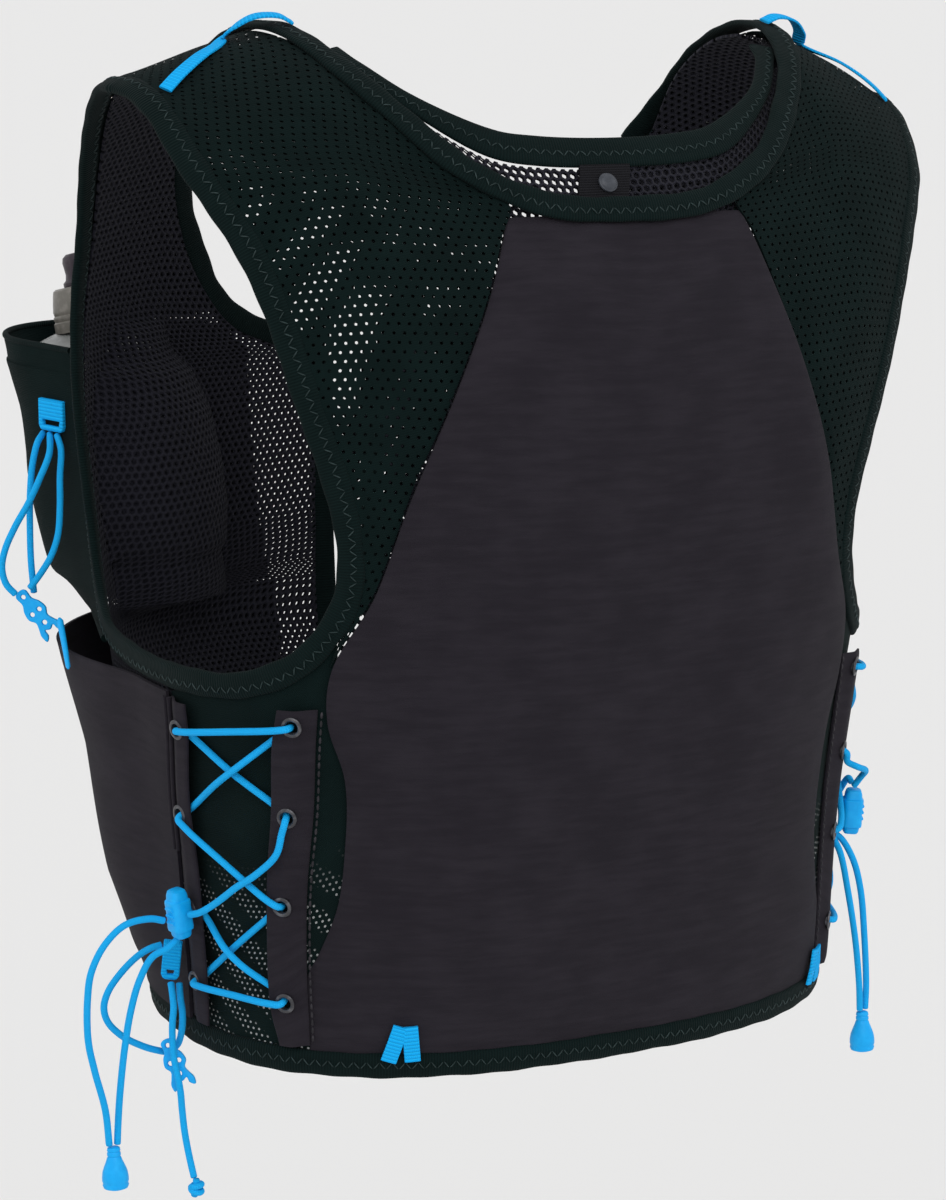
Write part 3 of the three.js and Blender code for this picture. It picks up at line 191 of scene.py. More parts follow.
def inset(chart, table, by):
    """Moves places sideways on the cloth."""
    table = np.asarray(table, float)
    by = np.broadcast_to(np.asarray(by, float), len(table))
    u, v = table[:, 0], table[:, 1]
    want = unit(np.cross(normal_at(chart, u, v), heading(chart(u, v))))
    h = INSET_STEP
    du, dv = (chart(u + h, v) - chart(u - h, v)) / (2 * h), (chart(u, v + h) - chart(u, v - h)) / (2 * h)
    aa, ab, bb = (du * du).sum(1), (du * dv).sum(1), (dv * dv).sum(1)
    ra, rb = (du * want).sum(1) * by, (dv * want).sum(1) * by
    det = aa * bb - ab * ab
    moved = np.stack([u + (ra * bb - rb * ab) / det, v + (rb * aa - ra * ab) / det], -1)
    on_crest = np.abs(v) < 0.1
    moved[on_crest, 1] = v[on_crest]
    return np.where(by[:, None] == 0, table, moved)


def ruled(chart, rows, cols, side=1):
    """Straight rows between two edges, each edge moved in by a length on the cloth."""
    full = np.array([list(r) + [0] * (6 - len(r)) for r in rows], float)
    a = inset(chart, full[:, :2], -side * full[:, 4])
    b = inset(chart, full[:, 2:4], side * full[:, 5])
    return np.stack([columns([p, q], cols) for p, q in zip(a, b)])


def fitted(top, bottom, left, right):
    """A grid between four edges. The rows follow the drop of the left edge."""
    top, bottom, left, right = (np.asarray(e, float) for e in (top, bottom, left, right))
    s = ((left[:, 1] - left[0, 1]) / (left[-1, 1] - left[0, 1]))[:, None, None]
    t = np.linspace(0, 1, len(top))[None, :, None]
    corners = (1 - s) * (top[0] * (1 - t) + top[-1] * t) + s * (bottom[0] * (1 - t) + bottom[-1] * t)
    edges = left[:, None] * (1 - t) + right[:, None] * t + top[None] * (1 - s) + bottom[None] * s
    return edges - corners


def share(table):
    table = np.asarray(table, float)
    return np.stack([table[:, 0], table[:, 1] * LENGTH], -1)


def row_share(table):
    return [[ua, va * LENGTH, ub, vb * LENGTH, *insets] for ua, va, ub, vb, *insets in table]


def mirrored(table):
    table = np.asarray(table, float)
    return np.stack([180 - table[:, 0], table[:, 1]], -1)


def turn_on(table, down):
    return np.interp(down, table[:, 1], table[:, 0])


# the vest's edges: turn in degrees round the torso, and drop as a share of LENGTH
ARMHOLE_BACK = share([
    [34.0, TOP], [34.6, 0.0015], [35.2, 0.007], [35.7, 0.0275], [36.2, 0.0825], [37.7, 0.12],
    [40.6, 0.1775], [42.8, 0.25], [45.4, 0.3425], [47.8, 0.40], [49.2, 0.46], [48.2, 0.505],
    [45.0, 0.536], [39.0, 0.568],
])
ARMHOLE_UNDER = share([[27.8, 0.592], [13.9, 0.5975], [-1.5, 0.595], [-13.0, 0.585]])
ARMHOLE_FRONT = share([
    [-21.0, 0.555], [-25.0, 0.50], [-28.5, 0.375], [-32.4, 0.275], [-35.9, 0.20], [-36.8, 0.12],
    [-36.4, 0.06], [-35.4, 0.0125], [-34.8, 0.003],
])
ARMHOLE = np.concatenate([ARMHOLE_BACK, ARMHOLE_UNDER, ARMHOLE_FRONT])
NECK_BACK = share([
    [90, 0.151], [83, 0.145], [75.2, 0.1125], [70.1, 0.0675], [66.6, 0.0325], [64.6, 0.008], [63.7, TOP],
])
LINING_HALF = [
    [66.2, 0.010, 66.0, 0.022], [68.0, 0.024, 67.4, 0.034], [72.0, 0.052, 70.6, 0.064],
    [79.5, 0.085, 78.6, 0.110], [84.0, 0.092, 83.6, 0.1185],
]
LINING_ROWS = row_share(
    LINING_HALF + [[90, 0.095, 90, 0.121]] + [[180 - a, b, 180 - c, d] for a, b, c, d in LINING_HALF][::-1]
)
FRONT_EDGE = share([
    [-63.7, TOP], [-63.2, 0.006], [-62.6, 0.0275], [-61.6, 0.075], [-62.5, 0.13], [-64.5, 0.19],
    [-67.9, 0.24], [-71.2, 0.28], [-75.5, 0.308], [-80.5, 0.325], [-85.0, 0.342], [-87.8, 0.372],
    [-88.6, 0.42], [-88.7, 0.5], [-88.6, 0.75], [-88.5, 0.974],
])
NECK_ON_FRONT = 4
YOKE_SEAM = share([
    [78.2, 0.165], [74.2, 0.2375], [68.7, 0.3175], [61.5, 0.4125], [54.6, 0.51], [46.5, 0.5825],
])
SIDE_SEAM = share([
    [46.2, 0.635], [48.8, 0.69], [48.5, 0.755], [46.2, 0.8225], [41.4, 0.875], [38.6, 0.90],
    [38.6, 0.98],
])
SIDE_FRONT_SEAM = share([[8.0, 0.612], [5.6, 0.72], [3.4, 0.82], [3.0, 0.98]])
SIDE_DOWNS = np.array([0.635, 0.68, 0.73, 0.78, 0.83, 0.88, 0.93, PANEL_END]) * LENGTH

# over the shoulder, from the tip on the back to the pocket on the front: arm side, then neck side
YOKE_ROWS = row_share([
    [45.0, 0.536, 46.3, 0.58, TUCK, 0.2], [48.2, 0.505, 54.4, 0.51, TUCK, 0.2],
    [49.2, 0.46, 58.3, 0.46, TUCK, 0.2], [47.8, 0.40, 62.2, 0.40, TUCK, 0.2],
    [45.4, 0.3425, 66.8, 0.3425, TUCK, 0.2], [42.8, 0.25, 73.3, 0.25, TUCK, 0.2],
    [40.6, 0.1775, 77.0, 0.185, TUCK, 0.2], [37.7, 0.12, 78.6, 0.150, TUCK, 0.2],
    [36.2, 0.0825, 75.2, 0.1125, TUCK, 9], [35.7, 0.035, 70.1, 0.0675, TUCK, 9],
    [35.4, 0.0125, 66.6, 0.03, TUCK, 9], [34.8, 0.003, 64.6, 0.006, TUCK, 9],
    [34.2, 0.0003, 63.8, 0.0005, TUCK, 9],
    [34.6, -0.002, 63.4, -0.003, TUCK, 9], [35.4, -0.0125, 62.9, -0.0175, TUCK, 9],
    [36.4, -0.05, 61.8, -0.05, TUCK, 9], [36.8, -0.12, 62.3, -0.12, TUCK, TUCK],
    [35.9, -0.20, 64.9, -0.20, TUCK, TUCK], [32.8, -0.265, 69.96, -0.265, TUCK, TUCK],
    [31.1, -0.306, 73.2, -0.2935, TUCK, TUCK],
])
FRONT_ROWS = row_share([
    [-34.2, TOP, -63.7, TOP, TUCK, 0], [-35.4, 0.0125, -62.9, 0.0175, TUCK, 0],
    [-36.4, 0.05, -61.8, 0.05, TUCK, 0], [-36.8, 0.12, -62.3, 0.12, TUCK, TUCK],
    [-35.9, 0.20, -64.9, 0.20, TUCK, TUCK], [-32.8, 0.265, -69.96, 0.265, TUCK, TUCK],
    [-31.1, 0.308, -75.5, 0.308, TUCK, TUCK], [-29.9, 0.34, -81.5, 0.3285, TUCK, TUCK],
    [-28.5, 0.375, -86.6, 0.355, TUCK, TUCK], [-27.5, 0.42, -88.45, 0.405, TUCK, TUCK],
    [-25.0, 0.50, -88.7, 0.48, TUCK, TUCK], [-21.0, 0.555, -88.7, 0.535, TUCK, TUCK],
    [-13.0, 0.585, -88.7, 0.57, TUCK, TUCK], [-1.5, 0.62, -88.7, 0.607, 0, TUCK],
    [7.7, 0.6275, -88.65, 0.65, 0, TUCK], [5.6, 0.72, -88.6, 0.72, 0, TUCK],
    [3.4, 0.82, -88.55, 0.82, 0, TUCK], [2.9, PANEL_END, -88.5, PANEL_END, 0, TUCK],
])
# the flask pocket: drop at the armhole, turn and drop at the front, and its inside from the flask
FLASK_POCKET = np.array([
    [0.322, -71.6, 0.322, -2], [0.345, -75.0, 0.345, 0], [0.365, -76.5, 0.365, 1.4],
    [0.42, -77.0, 0.42, 1.4], [0.50, -77.6, 0.495, 1.4], [0.55, -78.0, 0.545, 0.6],
    [0.585, -78.5, 0.58, -6], [0.6085, -79.0, 0.607, -17],
])
LOWER_POCKET_ROWS = row_share([
    [8.4, 0.627, -80.0, 0.609], [7.9, 0.66, -80.2, 0.65], [6.4, 0.73, -80.2, 0.73],
    [6.0, 0.80, -80.0, 0.80], [4.8, 0.87, -80.0, 0.87], [4.2, 0.93, -79.8, 0.93],
    [3.8, PANEL_END, -79.6, PANEL_END],
])

# how far a pocket stands out: drop, middle turn, half width in turns, greatest lift
LOWER_POCKET_BULGE = np.array([
    [0.609, -40, 39, 24], [0.73, -40, 41, 17], [0.86, -40, 41, 15], [0.94, -40, 41, 8],
    [0.972, -40, 41, 1.5],
])

FLASK_POCKET_INNER, FLASK_POCKET_OUTER = 0.2, 1.7
LOWER_POCKET_INNER, LOWER_POCKET_OUTER = 0.8, 2.3

# the flask: drop, radius as a share, lift
FLASK_TURN, FLASK_RADIUS, FLASK_CLEAR, FLASK_SIDES = -53, 38.0, 3.0, 48
FLASK_ROWS = np.array([
    [0.3225, 0.36, 22], [0.335, 0.64, 20], [0.36, 0.87, 16], [0.40, 0.98, 12], [0.45, 1.0, 9],
    [0.50, 1.0, 8], [0.545, 0.93, 7.5], [0.57, 0.70, 7], [0.5775, 0.40, 7],
])

# the hollow behind it, in shares of LENGTH, and its least radius, low and high, in shares of the flask's
HOLLOW_FROM, HOLLOW_TO, HOLLOW_FADE, HOLLOW_SHARES = 0.3, 0.6175, 0.02, (0.85, 0.72)

STRIPS = {
    "rear": {
        "free": share([[36.2, 0.622], [34.6, 0.66], [33.4, 0.73], [31.0, 0.82], [29.6, 0.93], [31.5, 0.972]]),
        "sewn": share([[43.5, 0.622], [42.6, 0.66], [41.4, 0.73], [38.9, 0.82], [37.6, 0.90], [37.6, 0.972]]),
        "eyelets": share([[38.9, 0.6375], [36.8, 0.73], [34.4, 0.8225], [33.2, 0.925]]),
    },
    "front": {
        "free": share([[15.0, 0.632], [14.9, 0.66], [13.3, 0.73], [13.8, 0.80], [13.0, 0.87], [12.0, 0.972]]),
        "sewn": share([[9.0, 0.632], [8.6, 0.66], [7.0, 0.73], [6.6, 0.80], [5.4, 0.87], [4.4, 0.972]]),
        "eyelets": share([[12.2, 0.66], [10.3, 0.75], [10.2, 0.8475], [8.6, 0.9275]]),
    },
}
STRIP_WALL, STRIP_RISE, EYELET_HOLE = 1.5, 3.6, 2.75
LACE = {"beneath": 1.85, "over": 7.3, "gap": 6.0, "cross": 5.2, "steep_over": 6.7, "steep_under": 2.5}
LOCKS = {
    "left": {
        "at": (11, 338.5, 11.7),
        "strand": [(34.9, 306, 8.4), (30.5, 315, 9.0), (26, 321.5, 9.6), (20.7, 330, 9.8),
                   (16.6, 335.5, 10.8), (14.0, 337.5, 11.4)],
        "finish": [(10.4, 338.9, 6.5)],
    },
    "right": {
        "at": (24.5, 325, 12.3),
        "strand": [(35.0, 299, 11.5), (30.0, 303, 15.0), (26.6, 308, 14.0), (25.7, 312.8, 11.8)],
        "finish": [(12.4, 336, 7.2), (16.5, 328, 6.8), (20.0, 318, 8.2), (22.2, 311.5, 10.2),
                   (23.2, 312.6, 11.2)],
    },
}

# free cords, millimetres, as in the part's source
FREE_CORDS = {
    "lace_tail_long_left": [
        [159, 28, -343], [165, 28, -341.5], [175, 27, -343], [183, 26, -350], [188, 24, -361],
        [189, 22, -373], [188, 20, -391], [185, 19, -404], [180, 18, -422], [178, 17, -437]],
    "lace_tail_short_left": [
        [153, 28, -351.4], [157, 28, -354.5], [163, 26, -358], [168, 25, -367], [171, 23, -380],
        [173, 21, -397], [174, 19, -414], [174, 17, -426], [174.5, 17, -437]],
    "lace_tail_long_right": [
        [-137, 56, -334], [-143, 57, -337], [-149, 59, -347], [-153, 60, -361], [-156, 60, -382],
        [-158, 60, -404], [-158, 60, -415]],
    "lace_tail_short_right": [
        [-137, 60, -335], [-140, 62, -342], [-145, 62, -360], [-150, 62, -383], [-153, 62, -404],
        [-154.5, 61, -415]],
    "upper_cord_1": [
        [153.8, -94.2, -167.3], [154.4, -88.5, -172.6], [156.3, -85.1, -183.7], [157.2, -83.1, -196],
        [158.8, -81.6, -207], [162.4, -80.3, -215.3], [167.2, -79.6, -222], [172.2, -79.3, -227.8]],
    "upper_cord_2": [
        [155.3, -98.4, -167.3], [160.6, -86.3, -174], [165.4, -84.4, -183], [170.3, -84.5, -192.8],
        [176.4, -84.9, -202.9], [180.9, -84.8, -212.2], [182.6, -84, -219.5], [181.4, -82.6, -226],
        [178.1, -81, -230.2]],
    "upper_cord_3": [
        [156.6, -102.6, -167.3], [162, -96.2, -170.8], [165.1, -94.1, -180.4], [167, -91.9, -193.3],
        [167.9, -89.8, -205.6], [168.3, -88, -217.9], [168.1, -85.5, -231]],
    "lower_cord": [
        [150.8, 6.4, -360.2], [154.8, 5.6, -361.2], [159.8, 3.9, -364.3], [166.9, 3.2, -370.7],
        [172.6, 3.3, -377.9], [174.5, 3.6, -384.2], [173, 4.1, -390.2], [167.4, 5.3, -396.5],
        [159.8, 5.8, -401.3], [152.3, 4.6, -404.9], [147.1, 4.4, -406.3], [144.0, 6.4, -403.7],
        [143.6, 10.5, -396.4], [143.6, 11.5, -389], [143.9, 10, -382.2], [143.6, 8.2, -376.9]],
    "lower_string": [
        [147.3, 8.2, -376.2], [147.8, 11, -380], [148.4, 13.5, -384.8], [149.3, 14.3, -391],
        [149.6, 15, -397.4], [149.8, 16.8, -404.5], [149.1, 19.3, -412.2], [148.2, 20, -418.8],
        [147.6, 19.9, -425.1], [147, 21.2, -434.9], [146.3, 24, -444.2], [145.7, 27.6, -452.4]],
}
CORD_ENDS = {
    "left": ([176.2, 17, -438], [175, 17, -458]),
    "right": ([-156.2, 60.5, -416], [-157, 60.5, -435]),
}
STRING_KNOT = [145.3, 29, -456.6]
TOGGLE = [[164.4, -66.5, -238.8], [166.3, -56, -248.8], [167.8, -48.6, -256.1]]
PLATES = {
    "upper_hook": ([175.1, -84.3, -230.2], [162.5, -75.3, -247.8], 10),
    "lower_hook": ([150, 9.1, -399.4], [144.8, 17.3, -418], 10),
    "upper_tab": ([155.5, -95.7, -152.4], [155.1, -96.1, -165.7], 15),
    "lower_tab": ([147.4, 11, -357.6], [147, 6.4, -374.9], 7.5),
}
# a shoulder loop: turn, run over the crest and rise
LOOP = [
    [41.5, 6.5, 0], [45.0, 4.6, 1.2], [50.0, 2.2, 1.4], [54.8, 0.3, 0], [57.0, 0.6, 4.6], [59.5, 1.0, 7.2],
    [62.0, 1.3, 6.0], [63.5, 1.5, 2.6],
]
HEM_LOOP_DOWN = 393.0
LOCK_BAR = 4.6
FACING, POCKET_FACING = np.array([0.48, 0.87, 0]), np.array([0.94, 0.34, 0])
SIDES = (("left", 1), ("right", -1))


# shader maths


class Field:
    """A number over the surface. Arithmetic on it adds Math nodes."""

    def __init__(self, paint, socket):
        self.paint, self.socket = paint, socket

    def _math(self, operation, *others):
        node = self.paint.node("ShaderNodeMath", {"operation": operation}, [self, *others])
        return Field(self.paint, node.outputs[0])

    def __add__(self, other):
        return self._math("ADD", other)

    def __sub__(self, other):
        return self._math("SUBTRACT", other)

    def __mul__(self, other):
        return self._math("MULTIPLY", other)

    def wave(self, pitch):
        return (self * (2 * math.pi / pitch))._math("SINE")

    def from_zero(self):
        """A wave between -1 and 1, moved to between 0 and 1."""
        return (self + 1) * 0.5

    def folded(self, pitch):
        return self._math("WRAP", pitch / 2, -pitch / 2)

    def size(self):
        return self._math("ABSOLUTE")

    def least(self, other):
        return self._math("MINIMUM", other)

    def most(self, other):
        return self._math("MAXIMUM", other)

    def rise(self, start, end):
        settings = {"interpolation_type": "SMOOTHSTEP"}
        values = {"Value": self, "From Min": start, "From Max": end}
        return Field(self.paint, self.paint.node("ShaderNodeMapRange", settings, values).outputs[0])


class Paint:
    """A material being mixed."""

    def __init__(self, name, colour, roughness, **steady):
        self.material = bpy.data.materials.new(name)
        self.material.use_nodes = True
        self.tree = self.material.node_tree
        self.shader = self.tree.nodes["Principled BSDF"]
        self.set(base_color=(*colour, 1), roughness=roughness, **steady)

    def node(self, kind, settings=None, values=()):
        node = self.tree.nodes.new(kind)
        for key, value in (settings or {}).items():
            setattr(node, key, value)
        pairs = values.items() if isinstance(values, dict) else enumerate(values)
        for key, value in pairs:
            self.feed(node.inputs[key], value)
        return node

    def feed(self, socket, value):
        value = value.socket if isinstance(value, Field) else value
        if isinstance(value, bpy.types.NodeSocket):
            self.tree.links.new(value, socket)
        else:
            socket.default_value = value

    def set(self, **values):
        for key, value in values.items():
            self.feed(self.shader.inputs[key.replace("_", " ").title().replace("Ior", "IOR")], value)

    def cloth_place(self):
        """Millimetres across and along the cloth."""
        place = self.node("ShaderNodeUVMap", {"uv_map": "cloth"})
        parts = self.node("ShaderNodeSeparateXYZ", None, [place.outputs[0]])
        return Field(self, parts.outputs[0]), Field(self, parts.outputs[1])

    def room_place(self):
        place = self.node("ShaderNodeTexCoord").outputs["Object"]
        parts = self.node("ShaderNodeSeparateXYZ", None, [place])
        return [Field(self, parts.outputs[k]) * 1000 for k in range(3)]

    def noise(self, scale, place, detail=2.0, rough=0.5):
        vector = self.node("ShaderNodeCombineXYZ", None, list(place)).outputs[0]
        values = {"Vector": vector, "Scale": scale, "Detail": detail, "Roughness": rough}
        return Field(self, self.node("ShaderNodeTexNoise", None, values).outputs[0])

    def mixed(self, first, second, factor):
        node = self.node("ShaderNodeMix", {"data_type": "RGBA"})
        for name, value in (("Factor_Float", factor), ("A_Color", first), ("B_Color", second)):
            socket = next(s for s in node.inputs if s.identifier == name)
            self.feed(socket, (*value, 1) if isinstance(value, tuple) else value)
        return next(s for s in node.outputs if s.identifier == "Result_Color")

    def relief(self, height, depth):
        """Bump of a height from 0 to 1, with its depth in millimetres."""
        node = self.node("ShaderNodeBump", None, {"Strength": 1.0, "Distance": depth * MM, "Height": height})
        self.set(normal=node.outputs[0])

    def to_cells(self, u, v, pitch):
        """Distance to the nearest cell's middle, over cells packed as in a honeycomb."""
        tall = pitch * math.sqrt(3)
        pairs = []
        for shift in (0, 0.5):
            a = (u + shift * pitch).folded(pitch).size()
            b = (v + shift * tall).folded(tall).size()
            pairs.append(a.most(a * 0.5 + b * (math.sqrt(3) / 2)))
        return pairs[0].least(pairs[1])


def smooth_woven(name, colour, light, depth=0.16):
    """Tight plain weave with a slight cross crinkle, with a lighter colour painted on partly as random tone
    and partly as highlight along the crinkle crests.
    """
    paint = Paint(name, colour, 0.86, sheen_weight=0.02, sheen_roughness=0.5, specular_ior_level=0.08)
    u, v = paint.cloth_place()
    drift = paint.noise(0.035, (u, v, 0.0), 3)
    crinkle = paint.noise(1.0, (u * 0.045, v * 0.32, 4.0), 3, 0.6)
    yarn = (u.wave(0.62) * v.wave(0.55)).from_zero()
    slub = paint.noise(1.0, (u * 0.3, v * 2.4, 9.0), 1)
    # Partly painted highlight: the lighter colour, taken from lit cloth, follows the crinkle crests of the
    # bump. Partly random tone, through the drift noise.
    paint.set(base_color=paint.mixed(colour, light, (drift * 0.5 + crinkle * 0.5).rise(0.36, 0.68)))
    paint.set(roughness=slub * 0.14 + 0.74)
    paint.relief(yarn * 0.28 + crinkle * 0.9 + slub * 0.25, depth * 2.2)
    return paint


def ribbed_knit(name, colour, light, holes=None, painted_light_dots=None):
    """Fine warp knit, with small round holes, or with pale round marks in slanting stripes low down, which
    are painted light: light seen through fine perforations.
    """
    paint = Paint(name, colour, 0.9, sheen_weight=0.01, sheen_roughness=0.6, specular_ior_level=0.08)
    u, v = paint.cloth_place()
    drift = paint.noise(0.05, (u, v, 0.0), 3)
    stitch = (u.wave(1.1) * (v + u * 0.5).wave(0.9)).from_zero()
    course = paint.noise(1.0, (u * 0.25, v * 1.3, 2.0), 2)
    # Partly painted highlight: the lighter colour, taken from lit knit, follows the stitch crests of the
    # bump. Partly random tone, through the drift noise.
    tone_and_highlight = (stitch * 0.35 + drift * 0.65).rise(0.25, 0.8)
    height = stitch * 0.5 + course * 0.7
    if holes:
        pitch, radius, spread = holes
        middle = paint.to_cells(u, v, pitch)
        open_area = paint.noise(1.0, (u * 0.5, v * 0.5, 6.0), 1) * spread + radius
        rim = (middle - open_area).rise(0.0, 0.35)
        paint.set(alpha=(middle - open_area).rise(-0.06, 0.06))
        height = height * rim + rim * 0.5
    cloth_colour = paint.mixed(colour, light, tone_and_highlight)
    if painted_light_dots:
        pitch, radius = painted_light_dots
        # Painted light: pale round marks where light would show through the knit's fine perforations, set in
        # slanting stripes on the lower part of the panel.
        painted_light_spot = (paint.to_cells(u, v, pitch) * -1).rise(-radius, 0.1 - radius)
        painted_light_bands = (u * 0.8 + v).wave(17).rise(-0.3, 0.35) * v.rise(70, 95)
        # This pale grey is painted light seen through the perforations, not a colour of the knit.
        cloth_colour = paint.mixed(cloth_colour, (0.30, 0.31, 0.31), painted_light_spot * painted_light_bands)
    paint.set(base_color=cloth_colour)
    paint.relief(height, 0.3)
    return paint


def honeycomb_mesh(name, colour, light, pitch, opening):
    """Spacer mesh: six-sided holes between round strands, with a painted highlight along each strand's crown
    and twist ridges.
    """
    paint = Paint(name, colour, 0.85, sheen_weight=0.03, sheen_roughness=0.5, specular_ior_level=0.1)
    u, v = paint.cloth_place()
    sway_u, sway_v = (paint.noise(0.09, (u, v, seed), 2) * 1.6 - 0.8 for seed in (1.0, 7.0))
    middle = paint.to_cells(u + sway_u, v + sway_v, pitch)
    strand = middle.rise(opening, pitch * 0.5)
    twist = (u + v).wave(0.9).from_zero()
    paint.set(alpha=middle.rise(opening - 0.06, opening + 0.06))
    # Painted highlight and shade: the lighter colour follows the strand crowns and twist ridges of the
    # relief, and the strands darken toward the holes.
    paint.set(base_color=paint.mixed(colour, light, strand * 0.8 + twist * 0.2))
    paint.relief(strand * 0.85 + twist * 0.15, 0.7)
    return paint


def bound_edge(name, colour, light):
    """Elastic binding: fine ribs across a rolled edge."""
    paint = Paint(name, colour, 0.88, sheen_weight=0.02, sheen_roughness=0.5, specular_ior_level=0.09)
    u, v = paint.cloth_place()
    ribs = v.wave(1.15).from_zero()
    drift = paint.noise(0.2, (u, v * 0.3, 0.0), 2)
    # Painted highlight: the lighter knit colour sits where the rib and drift relief is high.
    paint.set(base_color=paint.mixed(colour, light, (ribs * 0.4 + drift * 0.6).rise(0.2, 0.9)))
    paint.relief(ribs * 0.7 + drift * 0.5, 0.35)
    return paint


def braided_cord(name, colour, light):
    """Round braid: two crossing sets of yarns."""
    paint = Paint(name, colour, 0.7, specular_ior_level=0.18)
    u, v = paint.cloth_place()
    braid = (u + v * 0.9).wave(1.1) * (u - v * 0.9).wave(1.1)
    height = braid.from_zero()
    paint.set(base_color=paint.mixed(light, colour, height.rise(0.2, 0.75)))
    paint.relief(height, 0.22)
    return paint


def woven_tape(name, colour, light, pitch=1.5, depth=0.4):
    """Narrow webbing: ribs across, with a herringbone of yarns."""
    paint = Paint(name, colour, 0.75, specular_ior_level=0.12)
    u, v = paint.cloth_place()
    ribs = v.wave(pitch).from_zero()
    yarns = (u + v * 0.5).wave(0.8).from_zero()
    height = ribs * 0.75 + yarns * 0.25
    paint.set(base_color=paint.mixed(light, colour, height.rise(0.15, 0.6)))
    paint.relief(height, depth)
    return paint


def satin_moulding(name, colour, light, roughness=0.42, **steady):
    """Injection moulded plastic with a slight flow pattern."""
    paint = Paint(name, colour, roughness, **{"specular_ior_level": 0.25, **steady})
    place = paint.room_place()
    flow = paint.noise(0.35, place, 3)
    grain = paint.noise(5.0, place, 1)
    paint.set(base_color=paint.mixed(colour, light, flow.rise(0.4, 0.7)))
    paint.set(roughness=grain * 0.12 + (roughness - 0.06))
    paint.relief(grain * 0.5 + flow * 0.5, 0.05)
    return paint


def flask_film(name):
    """Thin clear film, clouded, with faint creases."""
    paint = Paint(name, (0.42, 0.43, 0.42), 0.22, transmission_weight=0.35, ior=1.35)
    place = paint.room_place()
    cloud = paint.noise(0.05, place, 3)
    crease = paint.noise(0.16, place, 4, 0.6)
    paint.set(base_color=paint.mixed((0.30, 0.31, 0.30), (0.62, 0.63, 0.62), cloud.rise(0.3, 0.7)))
    paint.set(roughness=crease * 0.2 + 0.12)
    paint.relief(crease, 0.8)
    return paint


# The charcoal's lighter colour is a painted highlight taken from lit cloth, mixed in partly as random tone.
CHARCOAL, CHARCOAL_TONE_AND_HIGHLIGHT = (0.0150, 0.0128, 0.0175), (0.0215, 0.0185, 0.0245)
# The knit's lighter colour is a painted highlight taken from lit knit, mixed in partly as random tone.
KNIT, KNIT_TONE_AND_HIGHLIGHT = (0.0010, 0.0055, 0.0054), (0.0026, 0.0098, 0.0095)
# The mesh's lighter colour is a painted highlight for the crowns of its round strands.
MESH, MESH_HIGHLIGHT = (0.0050, 0.0052, 0.0085), (0.0200, 0.0200, 0.0290)
BLUE, BLUE_LIGHT = (0.003, 0.370, 0.840), (0.008, 0.450, 0.920)
BLACK, BLACK_LIGHT = (0.0045, 0.0045, 0.0060), (0.0120, 0.0120, 0.0150)

PAINTS = {
    "charcoal": smooth_woven("charcoal_plain_weave", CHARCOAL, CHARCOAL_TONE_AND_HIGHLIGHT),
    "knit": ribbed_knit("dark_warp_knit", KNIT, KNIT_TONE_AND_HIGHLIGHT),
    "yoke": ribbed_knit("perforated_yoke_knit", KNIT, KNIT_TONE_AND_HIGHLIGHT, (4.0, 0.40, 0.30)),
    # The side knit carries painted light: pale round marks for light seen through its perforations.
    "side": ribbed_knit("dotted_side_knit", KNIT, KNIT_TONE_AND_HIGHLIGHT, painted_light_dots=(2.7, 0.52)),
    "mesh": honeycomb_mesh("honeycomb_spacer_mesh", MESH, MESH_HIGHLIGHT, 3.4, 0.62),
    "back_mesh": honeycomb_mesh("open_back_mesh", MESH, MESH_HIGHLIGHT, 3.5, 1.05),
    "binding": bound_edge("dark_elastic_binding", KNIT, KNIT_TONE_AND_HIGHLIGHT),
    "cord": braided_cord("blue_braided_cord", BLUE, BLUE_LIGHT),
    "tape": woven_tape("blue_woven_tape", BLUE, BLUE_LIGHT),
    "black_tape": woven_tape("black_ribbed_tape", BLACK, BLACK_LIGHT, 1.1, 0.5),
    "moulding": satin_moulding("blue_satin_moulding", BLUE, (0.006, 0.410, 0.880)),
    "rim": satin_moulding("dark_eyelet_rim", (0.055, 0.055, 0.06), (0.12, 0.12, 0.13), 0.3, metallic=0.6),
    "snap": satin_moulding("satin_snap_cap", (0.040, 0.045, 0.055), (0.060, 0.066, 0.078), 0.35),
    "thread": satin_moulding("dark_sewing_thread", (0.010, 0.022, 0.022), (0.022, 0.040, 0.040), 0.55),
    "grey_thread": satin_moulding("charcoal_sewing_thread", (0.012, 0.011, 0.014), (0.03, 0.027, 0.033), 0.6),
    "collar": satin_moulding("smoky_flask_collar", (0.17, 0.16, 0.14), (0.24, 0.225, 0.20), 0.35,
                             transmission_weight=0.15),
    "valve": satin_moulding("dark_bite_valve", (0.030, 0.022, 0.030), (0.055, 0.045, 0.055), 0.4),
    "film": flask_film("clouded_flask_film"),
}


# meshes


def in_scene(name, data):
    piece = bpy.data.objects.new(name, data)
    bpy.context.scene.collection.objects.link(piece)
    return piece


def finished_mesh(piece):
    """The piece's mesh with its modifiers or curve worked out."""
    bpy.context.view_layer.update()
    whole = piece.evaluated_get(bpy.context.evaluated_depsgraph_get())
    return bpy.data.meshes.new_from_object(whole)


def finish_piece(piece, nodes=()):
    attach(piece, "root")
    if nodes:
        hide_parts(*nodes)
    return piece


